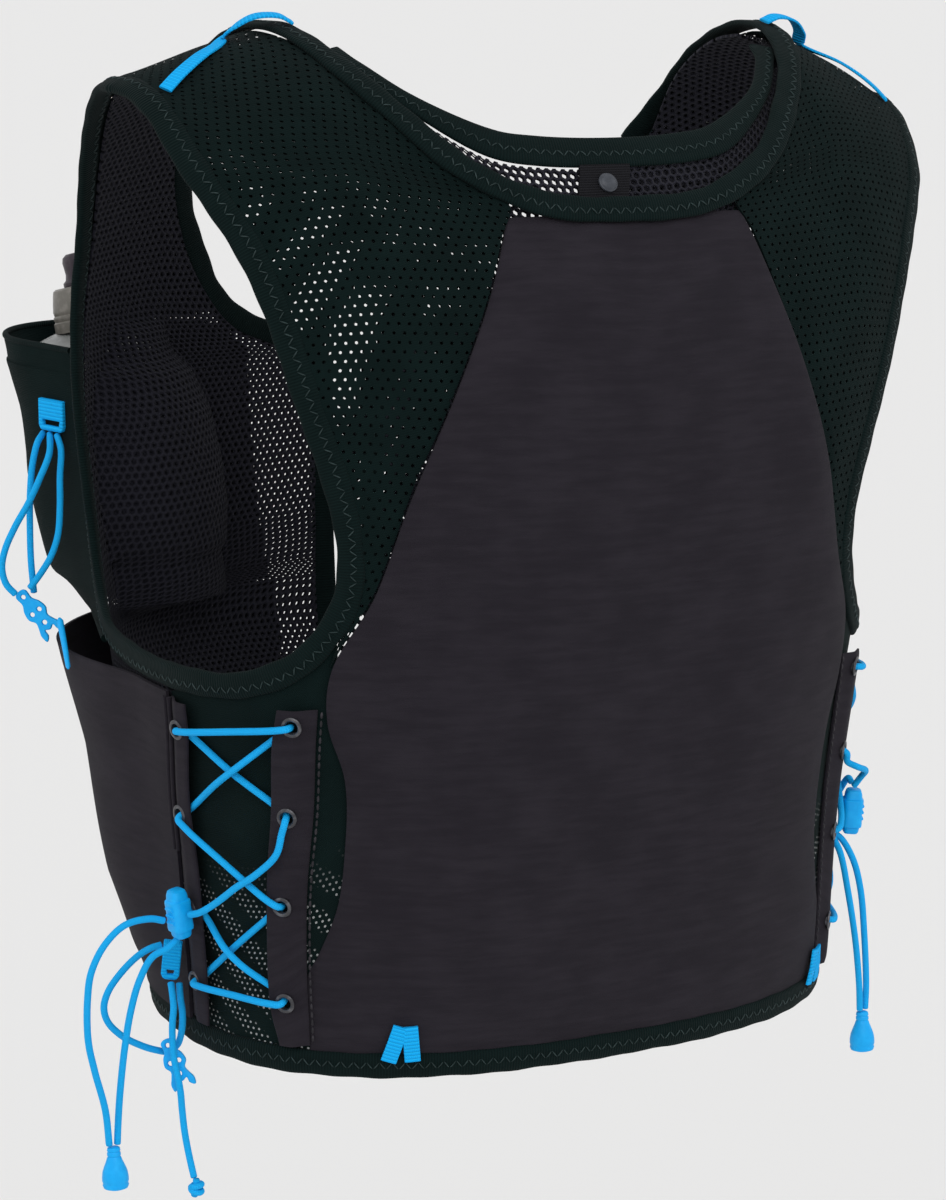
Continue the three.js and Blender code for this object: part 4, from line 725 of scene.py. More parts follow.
def mesh_piece(name, points, patches, paint, nodes=(), crisp=35):
    """One object from points in millimetres and patches of (faces, cloth places)."""
    faces = [list(map(int, f)) for patch, _ in patches for f in patch]
    places = np.concatenate([np.asarray(p, float).reshape(-1, 2) for _, p in patches])
    mesh = bpy.data.meshes.new(name)
    mesh.from_pydata((np.asarray(points) * MM).tolist(), [], faces)
    layer = mesh.uv_layers.new(name="cloth")
    layer.uv.foreach_set("vector", places.astype(np.float32).ravel())
    mesh.materials.append(PAINTS[paint].material)
    mesh.shade_smooth()
    mesh.set_sharp_from_angle(angle=math.radians(crisp))
    piece = in_scene(name, mesh)
    turn_outward(mesh)
    return finish_piece(piece, nodes)


def turn_outward(mesh):
    mesh.calc_loop_triangles()
    co = np.empty(len(mesh.vertices) * 3, np.float32)
    mesh.vertices.foreach_get("co", co)
    tri = np.empty(len(mesh.loop_triangles) * 3, np.int32)
    mesh.loop_triangles.foreach_get("vertices", tri)
    a, b, c = co.reshape(-1, 3)[tri.reshape(-1, 3)].astype(float).transpose(1, 0, 2)
    if (a * np.cross(b, c)).sum() < 0:
        mesh.flip_normals()


def quads(index, place):
    corners = [(slice(None, -1), slice(None, -1)), (slice(None, -1), slice(1, None)),
               (slice(1, None), slice(1, None)), (slice(1, None), slice(None, -1))]
    faces = np.stack([index[c] for c in corners], -1).reshape(-1, 4)
    return faces, np.stack([place[c] for c in corners], -2).reshape(-1, 4, 2)


def laid_out(points):
    """Millimetres across and along a grid of points, from its middle column."""
    step = np.linalg.norm(np.diff(points, axis=1), axis=2)
    across = np.concatenate([np.zeros((len(points), 1)), np.cumsum(step, 1)], 1)
    middle = points.shape[1] // 2
    across -= across[:, middle : middle + 1]
    along = run_along(points[:, middle])
    return np.stack([across, np.broadcast_to(along[:, None], across.shape)], -1)


def shell_patches(outer, inner):
    rows, cols = outer.shape[:2]
    top = np.arange(rows * cols).reshape(rows, cols)
    low = top + rows * cols
    place = laid_out((outer + inner) / 2)
    patches = [quads(top, place), quads(low[:, ::-1], place[:, ::-1])]
    for a, b, c in ((top[0], low[0], place[0]), (low[-1], top[-1], place[-1]),
                    (low[:, 0], top[:, 0], place[:, 0]), (top[:, -1], low[:, -1], place[:, -1])):
        patches.append(quads(np.stack([a, b], 1), np.stack([c, c], 1)))
    return np.concatenate([outer.reshape(-1, 3), inner.reshape(-1, 3)]), patches


def cloth(name, chart, grid, inner, outer, paint, nodes, push=None, fold=None):
    """A cloth panel over a grid of places, between two lifts."""
    u, v = grid[..., 0], grid[..., 1]
    out, inn = lifted(chart, u, v, outer), lifted(chart, u, v, inner)
    if fold is not None:
        move = normal_at(chart, u, v) * fold(out)[..., None]
        out, inn = out + move, inn + move
    if push is not None:
        out, inn = push(out, True), push(inn, False)
    points, patches = shell_patches(out, inn)
    piece = mesh_piece(name, points, patches, paint, nodes)
    declare_sheet((out + inn) / 2)
    return piece


def declare_sheet(points):
    width = np.linalg.norm(np.diff(points, axis=1), axis=2).sum(1).max()
    length = np.linalg.norm(np.diff(points, axis=0), axis=2).sum(0).max()
    a, b, c = points[:-1, :-1], points[1:, :-1], points[:-1, 1:]
    area = np.linalg.norm(np.cross(b - a, c - a), axis=-1).sum()
    area = min(max(area, 0.31 * width * length), width * length)


def frames_along(points, normals=None, closed=False):
    """Which way is across and which is up, along a line."""
    tangent = heading(points, closed)
    if normals is None:
        up = [unit(np.cross(tangent[0], [0.31, 0.83, 0.46]))]
        for t in tangent[1:]:
            up.append(unit(up[-1] - t * (up[-1] @ t)))
        normals = np.array(up)
    across = unit(np.cross(tangent, normals))
    return across, unit(np.cross(across, tangent))


def swept_patches(points, across, up, profiles, closed=False):
    """A closed outline carried along a line. profiles holds one outline, or one for each point."""
    profiles = np.broadcast_to(profiles, (len(points), *np.shape(profiles)[-2:]))
    rings = points[:, None] + across[:, None] * profiles[..., :1] + up[:, None] * profiles[..., 1:]
    count, sides = rings.shape[:2]
    index = np.arange(count * sides).reshape(count, sides)
    index = np.concatenate([index, index[:, :1]], 1)
    girth = np.linalg.norm(np.diff(np.concatenate([profiles, profiles[:, :1]], 1), axis=1), axis=2)
    around = np.concatenate([np.zeros((count, 1)), np.cumsum(girth, 1)], 1)
    along = run_along(points)
    place = np.stack([around, np.broadcast_to(along[:, None], around.shape)], -1)
    if closed:
        index = np.concatenate([index, index[:1]])
        last = place[-1:] + [0, np.linalg.norm(points[0] - points[-1])]
        place = np.concatenate([place, last])
        return rings.reshape(-1, 3), [quads(index, place)]
    ends = [(index[:1, :-1][:, ::-1], place[:1, :-1][:, ::-1]), (index[-1:, :-1], place[-1:, :-1])]
    return rings.reshape(-1, 3), [quads(index, place), *ends]


def oval(width, height, sides=20, middle=0.0, squareness=2.0):
    angle = round_angles(sides)
    c, s = np.cos(angle), np.sin(angle)
    x = width / 2 * np.sign(c) * np.abs(c) ** (2 / squareness)
    y = height / 2 * np.sign(s) * np.abs(s) ** (2 / squareness) + middle
    return np.stack([x, y], -1)


def sized(outline, wide, deep):
    """One outline for each point of a line, from an outline one wide and one deep."""
    return outline[None] * np.stack([wide, deep], -1)[:, None]


def swept(name, points, normals, profiles, paint, nodes=(), closed=False, crisp=50):
    across, up = frames_along(points, normals, closed)
    pts, patches = swept_patches(points, across, up, profiles, closed)
    return mesh_piece(name, pts, patches, paint, nodes, crisp)


def round_ended(points, diameter, sides=14):
    """Extra points and outlines that round off both ends of a cord."""
    caps = [(1.0, 0.12), (0.86, 0.5), (0.5, 0.86)]
    head, tail = unit(points[0] - points[1]), unit(points[-1] - points[-2])
    radius = diameter / 2
    start = [points[0] + head * radius * 0.4 * a for a, _ in caps]
    end = [points[-1] + tail * radius * 0.4 * a for a, _ in caps[::-1]]
    line = np.concatenate([start, points, end])
    sizes = [b for _, b in caps] + [1.0] * len(points) + [b for _, b in caps[::-1]]
    profiles = oval(diameter, diameter, sides)[None] * np.array(sizes)[:, None, None]
    return line, profiles


def rope(name, route, diameter, paint="cord", nodes=(), per=8):
    line, profiles = round_ended(spline(route, per), diameter)
    piece = swept(name, line, None, profiles, paint, nodes, crisp=80)
    return piece, line


def strand(points, normals, profiles):
    return swept_patches(points, *frames_along(points, normals), profiles)


def about(axis):
    """An axis with two others square to it."""
    axis = unit(np.asarray(axis, float))
    across = unit(np.cross(axis, [0.2, 0.3, 1.0]))
    return axis, across, np.cross(across, axis)


def turned_patches(profile, base, axis, sides=36, flat=1.0):
    base = np.asarray(base, float)
    axis, across, up = about(axis)
    profile = np.asarray(profile, float)
    points = base + axis * profile[:, 1:]
    outlines = oval(2, 2, sides)[None] * np.maximum(profile[:, :1], 0.02)[:, None]
    outlines = outlines * np.array([1.0, flat])
    count = len(points)
    tile = np.broadcast_to
    return swept_patches(points, tile(across, (count, 3)), tile(up, (count, 3)), outlines)


def turned(name, profile, base, axis, paint, nodes=(), sides=36, flat=1.0, crisp=40):
    points, patches = turned_patches(profile, base, axis, sides, flat)
    return mesh_piece(name, points, patches, paint, nodes, crisp)


def joined(name, parts, paint, nodes=(), crisp=40):
    """Many small closed forms as one object."""
    base, points, patches = 0, [], []
    for pts, group in parts:
        points.append(pts)
        patches += [(np.asarray(f) + base, p) for f, p in group]
        base += len(pts)
    return mesh_piece(name, np.concatenate(points), patches, paint, nodes, crisp)


def stitch_row(name, points, normals, paint, length, width, gap, thick=0.55, zigzag=0.0, lift=0.0):
    """A row of short sewn threads on a line, straight or as a zigzag."""
    reach = run_along(points)
    count = int(reach[-1] / (length + gap))
    across, up = frames_along(points, normals)
    parts = []
    for i in range(count):
        mid = (i + 0.5) * (length + gap)
        way = 1 if i % 2 else -1

        def at(s, w):
            lines = (points, across, up)
            p, a, n = (np.array([np.interp(s, reach, line[:, k]) for k in range(3)]) for line in lines)
            return p + unit(a) * w + unit(n) * lift, unit(n)

        (p, n), (q, _) = at(mid - length / 2, -way * zigzag), at(mid + length / 2, way * zigzag)
        line = np.array([p, p * 0.75 + q * 0.25 + n * thick * 0.5, p * 0.25 + q * 0.75 + n * thick * 0.5, q])
        sizes = np.array([0.4, 1, 1, 0.4])[:, None, None]
        parts.append(strand(line, np.broadcast_to(n, (4, 3)), oval(width, thick, 6)[None] * sizes))
    return joined(name, parts, paint)


def moulded(name, outline, holes, thickness, bevel, matrix, paint, nodes=()):
    """A flat plate with rounded edges and holes, from outlines in millimetres."""
    curve = bpy.data.curves.new(name + "_outline", "CURVE")
    curve.dimensions = "2D"
    curve.fill_mode = "BOTH"
    curve.extrude = (thickness / 2 - bevel) * MM
    curve.bevel_depth = bevel * MM
    curve.bevel_resolution = 2
    curve.offset = -bevel * MM
    for loop in [outline, *holes]:
        line = curve.splines.new("POLY")
        line.points.add(len(loop) - 1)
        for point, (x, y) in zip(line.points, loop):
            point.co = (x * MM, y * MM, 0, 1)
        line.use_cyclic_u = True
    shape = in_scene(name + "_outline", curve)
    mesh = finished_mesh(shape)
    bpy.data.objects.remove(shape)
    mesh.name = name
    co = np.empty(len(mesh.vertices) * 3, np.float32)
    mesh.vertices.foreach_get("co", co)
    loops = np.empty(len(mesh.loops), np.int32)
    mesh.loops.foreach_get("vertex_index", loops)
    layer = mesh.uv_layers.new(name="cloth")
    layer.uv.foreach_set("vector", (co.reshape(-1, 3)[loops, :2] / MM).ravel())
    mesh.transform(matrix)
    mesh.materials.clear()
    mesh.materials.append(PAINTS[paint].material)
    mesh.shade_smooth()
    mesh.set_sharp_from_angle(angle=math.radians(50))
    return finish_piece(in_scene(name, mesh), nodes)


def seat(origin, across, along, normal):
    """The matrix that puts a flat plate at a place, in millimetres."""
    m = Matrix.Identity(4)
    for k, axis in enumerate((across, along, normal)):
        for row in range(3):
            m[row][k] = axis[row]
    for row in range(3):
        m[row][3] = origin[row] * MM
    return m


# bindings


def edge_path(side, table, by, closed=False):
    chart = round_torso(side)
    table = np.asarray(table, float)
    turn, down = table[:, 0], table[:, 1]
    n = normal_at(chart, turn, down)
    other = normal_at(chart, -turn, down)
    n = np.where((down < 1)[:, None], unit(n + other), n)
    p = skin(side, turn, down)
    across = unit(np.cross(n, heading(p, closed)))
    return p + across * by * side, n


def binding_outline(height, middle=0.0):
    return oval(BINDING_WIDTH, height, 26, middle, 2.9)


def binding(name, path, height, middle, nodes, closed=False, per=8):
    points, normals = (spline(q, per, closed) for q in path)
    reach = run_along(points)
    ripple = 1 + 0.035 * np.sin(reach / 2.9) + 0.03 * np.sin(reach / 7.3 + 1)
    outline = binding_outline(height, middle)[None] * ripple[:, None, None]
    swept(name, points, normals, outline, "binding", nodes, closed)
    return points, unit(normals)


def neck_path():
    table = np.concatenate([NECK_BACK, FRONT_EDGE[1 : NECK_ON_FRONT + 1]])
    right, left = edge_path(-1, table, HALF_BINDING), edge_path(1, table, HALF_BINDING)
    return [np.concatenate([r[1:][::-1], l]) for r, l in zip(right, left)]


def front_path(side):
    p, n = edge_path(side, FRONT_EDGE[NECK_ON_FRONT:], HALF_BINDING)
    p[0] = p[0] * 0.93 + p[1] * 0.07
    return p, n


def hem_path():
    turn = np.linspace(HEM_START, 180 - HEM_START, HEM_STEPS)
    down = np.full(HEM_STEPS, HEM_DOWN)
    chart = round_torso(1)
    return chart(turn, down), normal_at(chart, turn, down)


# a sewn zigzag thread: length, width, gap and thickness
ZIGZAG_THREAD = (2.0, 0.5, 0.5, 0.5)


def sew_zigzag(name, points, normals, offset, lift):
    across, up = frames_along(points, normals)
    line = points + across * offset
    stitch_row(name, line, up, "thread", *ZIGZAG_THREAD, 1.25, lift)


def bindings():
    points, normals = binding("bound_hem", hem_path(), 4.0, 0.0, ["hem_binding"])
    sew_zigzag("hem_zigzag", points, normals, -0.6, 2.0)
    points, normals = binding("bound_neck", neck_path(), 3.2, 2.3, ["neck_binding"])
    sew_zigzag("neck_zigzag", points, normals, -1.4, 3.85)
    for name, side in SIDES:
        path = edge_path(side, ARMHOLE, HALF_BINDING, True)
        points, normals = binding(f"bound_armhole_{name}", path, 4.2, 0.0, [f"armhole_binding_{name}"], True)
        sew_zigzag(f"armhole_zigzag_{name}", points, normals, -1.2 * side, 2.05)
        sew_zigzag(f"armhole_zigzag_inner_{name}", points, -normals, 1.2 * side, 2.05)
        nodes = [f"front_binding_{name}"]
        points, normals = binding(f"bound_front_{name}", front_path(side), 4.0, 0.0, nodes)
        sew_zigzag(f"front_zigzag_{name}", points, normals, -1.0 * side, 2.0)


def neck_lining():
    """The inner neck edge, above the snap tab: a rolled binding from shoulder to shoulder."""
    rows = np.array(LINING_ROWS)
    middle = (rows[:, :2] + rows[:, 2:]) / 2
    chart = round_torso(1)
    upper, lower = chart(rows[:, 0], rows[:, 1]), chart(rows[:, 2], rows[:, 3])
    width = spline(np.linalg.norm(upper - lower, axis=1)[:, None], 8)[:, 0]
    points = spline(lifted(chart, middle[:, 0], middle[:, 1], -1.0), 8)
    normals = unit(spline(normal_at(chart, middle[:, 0], middle[:, 1]), 8))
    outline = sized(oval(1, 1, 24, 0, 2.8), width, np.full(len(width), 2.8))
    swept("bound_neck_lining", points, normals, outline, "binding", ["neck_lining_binding"])
    across, up = frames_along(points, normals)
    stitch_row("neck_lining_zigzag", points + across * 1.2, up, "thread", *ZIGZAG_THREAD, 1.1, 1.35)


# panels


# where the back panel stands out from the mesh: first place and run, in shares of LENGTH and in turns
FULLNESS_DOWN, FULLNESS_TURN, FULLNESS_POWER = (0.165, 0.815), (40, 100), 0.8


def knit_fullness(turn, down):
    s = np.clip((down / LENGTH - FULLNESS_DOWN[0]) / FULLNESS_DOWN[1], 0, 1)
    t = np.clip((turn - FULLNESS_TURN[0]) / FULLNESS_TURN[1], 0, 1)
    out = BACK_FULLNESS * np.sin(math.pi * s) ** FULLNESS_POWER * np.sin(math.pi * t) ** FULLNESS_POWER
    return np.maximum(out, 0)


def filled_out(base):
    """A lift with the fullness of the back panel."""
    return lambda turn, down: base + knit_fullness(turn, down)


def sunk(base):
    """A lift that sinks toward the crest of the shoulder."""
    return lambda turn, down: base - CREST_SINK * np.clip(1 - np.abs(down) / CROWN, 0, 1)


def ripples(points, seed, reach, depth, grain=(1.0, 1.0, 1.0)):
    """Soft random waves over points, in millimetres."""
    rng = np.random.default_rng(seed)
    total = np.zeros(points.shape[:-1])
    for k in range(14):
        way = rng.normal(size=3) * np.array(grain)
        way = way / np.linalg.norm(way)
        wave = reach * (0.45 + 1.2 * rng.random())
        total += np.sin(points @ way * (2 * math.pi / wave) + rng.random() * 6.28) * wave / reach
    return depth * total / 3.2


def back_mesh():
    chart = round_torso(1)
    arm = inset(chart, ARMHOLE_BACK, TUCK)
    arm = arm[[i for i in range(13) if i not in (1, 4)]]
    arm[-1, 0] += 0.4
    left = np.concatenate([arm, np.stack([turn_on(SIDE_SEAM, SIDE_DOWNS) + 0.3, SIDE_DOWNS], -1)])
    half = np.concatenate([share([
        [50, TOP], [63.0, TOP], [65.4, 0.026], [66.9, 0.037], [70.6, 0.0655], [78.6, 0.1115], [84, 0.1195],
    ]), [[90, 0.122 * LENGTH]]])
    top = np.concatenate([left[:1], half, mirrored(half)[::-1][1:], mirrored(left[:1])])
    end = left[-1]
    bottom = columns([end, [180 - end[0], end[1]]], len(top))
    grid = fine(fitted(top, bottom, left, mirrored(left)), 5, 6)
    cloth("inner_back_mesh", chart, grid, sunk(MESH_INNER), sunk(MESH_OUTER), "back_mesh", ["back_mesh"])


def back_panel():
    chart = round_torso(1)
    side_edge = np.concatenate([SIDE_SEAM[:-1], [[38.6, PANEL_END * LENGTH]]]) - [1.0, 0]
    left = np.concatenate([YOKE_SEAM + [0.1, 0], side_edge])
    neck = inset(chart, NECK_BACK[:2], TUCK)
    half = np.array([neck[1], (neck[1] + neck[0]) / 2, [90, neck[0][1]]])
    top = np.concatenate([left[:1], half, mirrored(half)[::-1][1:], mirrored(left[:1])])
    wide = columns(top, 13)
    end = left[-1]
    bottom = columns([end, [180 - end[0], end[1]]], len(wide))
    grid = fine(fitted(wide, bottom, left, mirrored(left)), 10, 12)
    edge = edge_roll(grid.shape[:2], 5, 5, 1.1)

    def fold(points):
        soft = ripples(points, 3, 90, 0.9, (1.0, 1.0, 0.5)) + ripples(points, 5, 26, 0.16, (0.5, 0.5, 1.6))
        return soft * edge_hold(grid.shape[:2], 10, 10) - edge

    cloth("back_cloth", chart, grid, filled_out(KNIT_INNER), filled_out(KNIT_OUTER), "charcoal",
          ["back_panel"], fold=fold)


def edge_share(shape, rows, cols):
    """0 at the edges of a grid, 1 from a few rows and columns in."""
    r = np.minimum(np.arange(shape[0]), np.arange(shape[0])[::-1]) / rows
    c = np.minimum(np.arange(shape[1]), np.arange(shape[1])[::-1]) / cols
    return np.minimum(np.clip(r, 0, 1)[:, None], np.clip(c, 0, 1)[None])


def edge_hold(shape, rows, cols):
    return smoothstep(edge_share(shape, rows, cols))


def edge_roll(shape, rows, cols, depth):
    """Pulls a sewn edge down into its seam."""
    t = edge_share(shape, rows, cols)
    return depth * (1 - np.sqrt(np.clip(1 - (1 - t) ** 2, 0, 1)))


def yokes():
    for name, side in SIDES:
        chart = over_shoulder(side)
        grid = fine(ruled(chart, YOKE_ROWS, 5, side), 6, 12)
        fold = lambda points, shape=grid.shape[:2]: ripples(points, 11, 70, 0.7) * edge_hold(shape, 8, 8)
        cloth(f"shoulder_yoke_{name}", chart, grid, KNIT_INNER, KNIT_OUTER, "yoke", [f"yoke_{name}"],
              fold=fold)


def flask_at(side, z):
    z = np.asarray(z, float)
    down = -z / LENGTH
    lift = np.interp(down, FLASK_ROWS[:, 0], FLASK_ROWS[:, 2])
    radius = FLASK_RADIUS * np.interp(down, FLASK_ROWS[:, 0], FLASK_ROWS[:, 1])
    chart = round_torso(side)
    turn = np.full_like(z, FLASK_TURN)
    out = normal_at(chart, turn, -z)
    out[..., 2] = 0
    out = unit(out)
    centre = chart(turn, -z) + out * lift[..., None]
    centre[..., 2] = z
    across = np.stack([-out[..., 1], out[..., 0], np.zeros_like(z)], -1)
    return centre, out, across, radius


def behind_flask(side, thickness):
    """Cloth goes behind the flask, then straight back to the torso form."""

    def push(p, is_outer):
        z, down = p[..., 2], -p[..., 2] / LENGTH
        centre, out, across, radius = flask_at(side, z)
        d = p - centre
        least = FLASK_RADIUS * np.where(down > 0.5, *HOLLOW_SHARES)
        r = np.maximum(radius, least) + FLASK_CLEAR + (0 if is_outer else thickness)
        aside = np.abs((d * across).sum(-1))
        near = np.sqrt(np.maximum(r * r - aside * aside, 0))
        reach = np.where(aside < r * math.sqrt(0.5), near, r * math.sqrt(2) - aside)
        fade = smoothstep((down - HOLLOW_FROM) / HOLLOW_FADE)
        fade = fade * smoothstep((HOLLOW_TO - down) / HOLLOW_FADE)
        short = np.maximum(reach + (d * out).sum(-1), 0) * fade
        return p - out * short[..., None]

    return push


def standing_out(table, base):
    def lift(turn, down):
        share_down = down / LENGTH
        middle, half, height = (np.interp(share_down, table[:, 0], table[:, k]) for k in (1, 2, 3))
        off = np.clip(np.abs(turn - middle) / half, 0, 1)
        return base + height * np.cos(math.pi / 2 * off) ** 1.2

    return lift


def front_panels():
    for name, side in SIDES:
        chart = round_torso(side)
        grid = fine(ruled(chart, FRONT_ROWS, 11, side), 6, 6)
        cloth(f"inner_front_mesh_{name}", chart, grid, sunk(MESH_INNER), sunk(MESH_OUTER), "mesh",
              [f"front_panel_{name}"], push=behind_flask(side, 1.1))


def round_flask(side, start, end, radius, count):
    """From one edge straight to the flask, round it, and straight on to the other edge."""
    centre, out, across, _ = flask_at(side, (start[2] + end[2]) / 2)
    ends = [np.array([(p - centre) @ across * side, (p - centre) @ out]) for p in (start, end)]
    reach = np.array([np.hypot(*p) for p in ends])
    lean = np.arccos(radius / reach)
    first = math.atan2(ends[0][1], ends[0][0]) + lean[0]
    last = math.atan2(ends[1][1], ends[1][0]) + 2 * math.pi - lean[1]
    straight = np.sqrt(reach**2 - radius**2)
    length = straight[0] + radius * (last - first) + straight[1]
    t = np.linspace(0, 1, count)
    s = t * length
    turn = np.clip((s - straight[0]) / radius, 0, last - first) + first
    place = np.stack([np.cos(turn), np.sin(turn)], -1) * radius
    near = np.clip(s / straight[0], 0, 1)[:, None]
    far = np.clip((length - s) / straight[1], 0, 1)[:, None]
    place = np.where(near < 1, ends[0] * (1 - near) + place * near, place)
    place = np.where(far < 1, ends[1] * (1 - far) + place * far, place)
    line = centre + place[:, :1] * across * side + place[:, 1:] * out
    line[:, 2] = start[2] + (end[2] - start[2]) * t
    return line


def flask_pocket(name, side):
    chart = round_torso(side)
    arm_edge = inset(round_torso(1), ARMHOLE, TUCK + 0.6)[16:23][::-1]
    rows = spline(FLASK_POCKET, 8)

    def sheet(lift):
        lines = []
        for drop, turn, front_drop, clear in rows:
            down = drop * LENGTH
            start = lifted(chart, turn_on(arm_edge, down), down, lift)
            end = lifted(chart, turn, front_drop * LENGTH, lift)
            lines.append(round_flask(side, start, end, FLASK_RADIUS + clear + lift - KNIT_INNER, 64))
        return np.array(lines)

    outer, inner = sheet(FLASK_POCKET_OUTER), sheet(FLASK_POCKET_INNER)
    wave = ripples(outer, 21, 55, 0.7) * edge_hold(outer.shape[:2], 6, 6)
    _, out, _, _ = flask_at(side, outer[..., 2])
    outer, inner = outer + out * wave[..., None], inner + out * wave[..., None]
    points, patches = shell_patches(outer, inner)
    piece = mesh_piece(f"flask_pocket_cloth_{name}", points, patches, "knit", [f"flask_pocket_{name}"])
    declare_sheet((outer + inner) / 2)
    seam = outer[-1] + np.array([0, 0, -0.6])
    swept(f"pocket_seam_tape_{name}", seam[2:-2], None, oval(3.4, 3.4, 12), "binding")
    swept(f"pocket_top_tape_{name}", (outer[0] + inner[0])[2:-2] / 2, None, oval(2.6, 2.6, 12), "binding")


def pockets():
    for name, side in SIDES:
        chart = round_torso(side)
        flask_pocket(name, side)
        grid = fine(ruled(chart, LOWER_POCKET_ROWS, 11, side), 8, 6)
        fold = lambda p, shape=grid.shape[:2]: ripples(p, 23, 60, 0.9) * edge_hold(shape, 6, 6)
        cloth(f"lower_pocket_cloth_{name}", chart, grid, standing_out(LOWER_POCKET_BULGE, LOWER_POCKET_INNER),
              standing_out(LOWER_POCKET_BULGE, LOWER_POCKET_OUTER), "charcoal", [f"lower_pocket_{name}"],
              fold=fold)


def side_panels():
    chart = round_torso(1)
    top_edge = inset(chart, ARMHOLE, TUCK)[12:16]
    top = columns(np.concatenate([[top_edge[0] - [0.4, 0]], top_edge[1:], [[8.3, 0.6285 * LENGTH]]]), 7)
    left = np.concatenate([top[:1], np.stack([turn_on(SIDE_SEAM, SIDE_DOWNS) - 0.1, SIDE_DOWNS], -1)])
    first, end = top[-1], PANEL_END * LENGTH
    down = first[1] + (end - first[1]) * (left[:, 1] - left[0, 1]) / (end - left[0, 1])
    right = np.stack([turn_on(SIDE_FRONT_SEAM, down) + 0.1, down], -1)
    right[0] = first
    bottom = columns([left[-1], right[-1]], len(top))
    grid = fine(fitted(top, bottom, left, right), 8, 8)
    for name, side in SIDES:
        cloth(f"side_knit_{name}", round_torso(side), grid, MESH_INNER, MESH_OUTER, "side",
              [f"side_panel_{name}"])


# side lacing


def strip_rise(across):
    return STRIP_RISE * smoothstep(across * 1.6)


def eyelet_seat(side, strip, turn, down):
    sewn, free = turn_on(strip["sewn"], down), turn_on(strip["free"], down)
    chart = round_torso(side)
    lift = KNIT_INNER + strip_rise((sewn - turn) / (sewn - free))
    return lifted(chart, turn, down, lift), normal_at(chart, np.float64(turn), np.float64(down))


def eyelet_strip(name, side, strip, nodes):
    chart = round_torso(side)
    line = np.stack([spline(strip["free"], 12), spline(strip["sewn"], 12)], 1)
    across = np.linspace(0, 1, 25)
    grid = line[:, 1:2] * (1 - across)[None, :, None] + line[:, :1] * across[None, :, None]
    rise = np.broadcast_to(strip_rise(across), grid.shape[:2])
    roll = edge_roll(grid.shape[:2], 6, 3, 0.55)
    n = normal_at(chart, grid[..., 0], grid[..., 1])
    base = chart(grid[..., 0], grid[..., 1])
    inner = base + n * (KNIT_INNER + rise)[..., None] + n * roll[..., None] * 0.3
    outer = base + n * (KNIT_INNER + STRIP_WALL + rise)[..., None] - n * roll[..., None]
    points, patches = shell_patches(outer, inner)
    piece = mesh_piece(name, points, patches, "charcoal", nodes)
    cutters = []
    rims = []
    for turn, down in strip["eyelets"]:
        at, way = eyelet_seat(side, strip, turn, down)
        cutters.append(turned_patches([(EYELET_HOLE, -3), (EYELET_HOLE, 5)], at, way, 32))
        ring = [(2.55, 0.1), (2.5, 1.2), (2.62, 1.95), (3.0, 2.2), (3.6, 2.1), (4.05, 1.75), (4.1, 1.45),
                (3.2, 1.35), (2.9, 1.1), (2.85, 0.1), (3.1, -0.15), (2.8, -0.3), (2.55, -0.1), (2.55, 0.1)]
        rims.append(ring_patches(ring[:-1], at, way))
    cut_through(piece, cutters)
    joined(name.replace("strip", "rims"), rims, "rim")
    declare_sheet((inner + outer) / 2)


def strip_trim(name, side):
    """A dashed seam behind the rear strip and two piped edges in front of the front one."""
    chart = round_torso(side)
    sewn = spline(STRIPS["rear"]["sewn"], 10)
    turn, down = sewn[:, 0] + 0.9, sewn[:, 1]
    line, up = lifted(chart, turn, down, KNIT_OUTER + 0.5), normal_at(chart, turn, down)
    stitch_row(f"rear_strip_seam_{name}", line, up, "grey_thread", 2.6, 1.0, 0.8, 0.6)
    sewn = spline(STRIPS["front"]["sewn"], 10)
    sewn = sewn[sewn[:, 1] < 0.80 * LENGTH]
    for which, back in (("near", -0.2), ("far", 1.0)):
        line = lifted(chart, sewn[:, 0] - back, sewn[:, 1], 2.4)
        swept(f"front_piping_{which}_{name}", line, None, oval(1.9, 1.9, 12), "charcoal")


def ring_patches(section, base, axis, sides=36):
    """A ring with that section, as radius and height, round an axis."""
    axis, across, up = about(axis)
    angle = round_angles(sides)
    out = across * np.cos(angle)[:, None] + up * np.sin(angle)[:, None]
    section = np.asarray(section, float)
    rings = base + out[:, None] * section[None, :, :1] + axis * section[None, :, 1:]
    index = np.arange(sides * len(section)).reshape(sides, -1)
    index = np.concatenate([index, index[:, :1]], 1)
    index = np.concatenate([index, index[:1]])
    return rings.reshape(-1, 3), [quads(index, np.zeros((*index.shape, 2)))]


def cut_through(piece, cutters):
    cutter = joined(piece.name + "_cutter", cutters, "rim")
    tool = piece.modifiers.new("eyelet holes", "BOOLEAN")
    tool.operation, tool.solver, tool.object = "DIFFERENCE", "EXACT", cutter
    mesh = finished_mesh(piece)
    piece.modifiers.clear()
    piece.data = mesh
    mesh.materials.clear()
    mesh.materials.append(PAINTS["charcoal"].material)
    bpy.data.objects.remove(cutter)


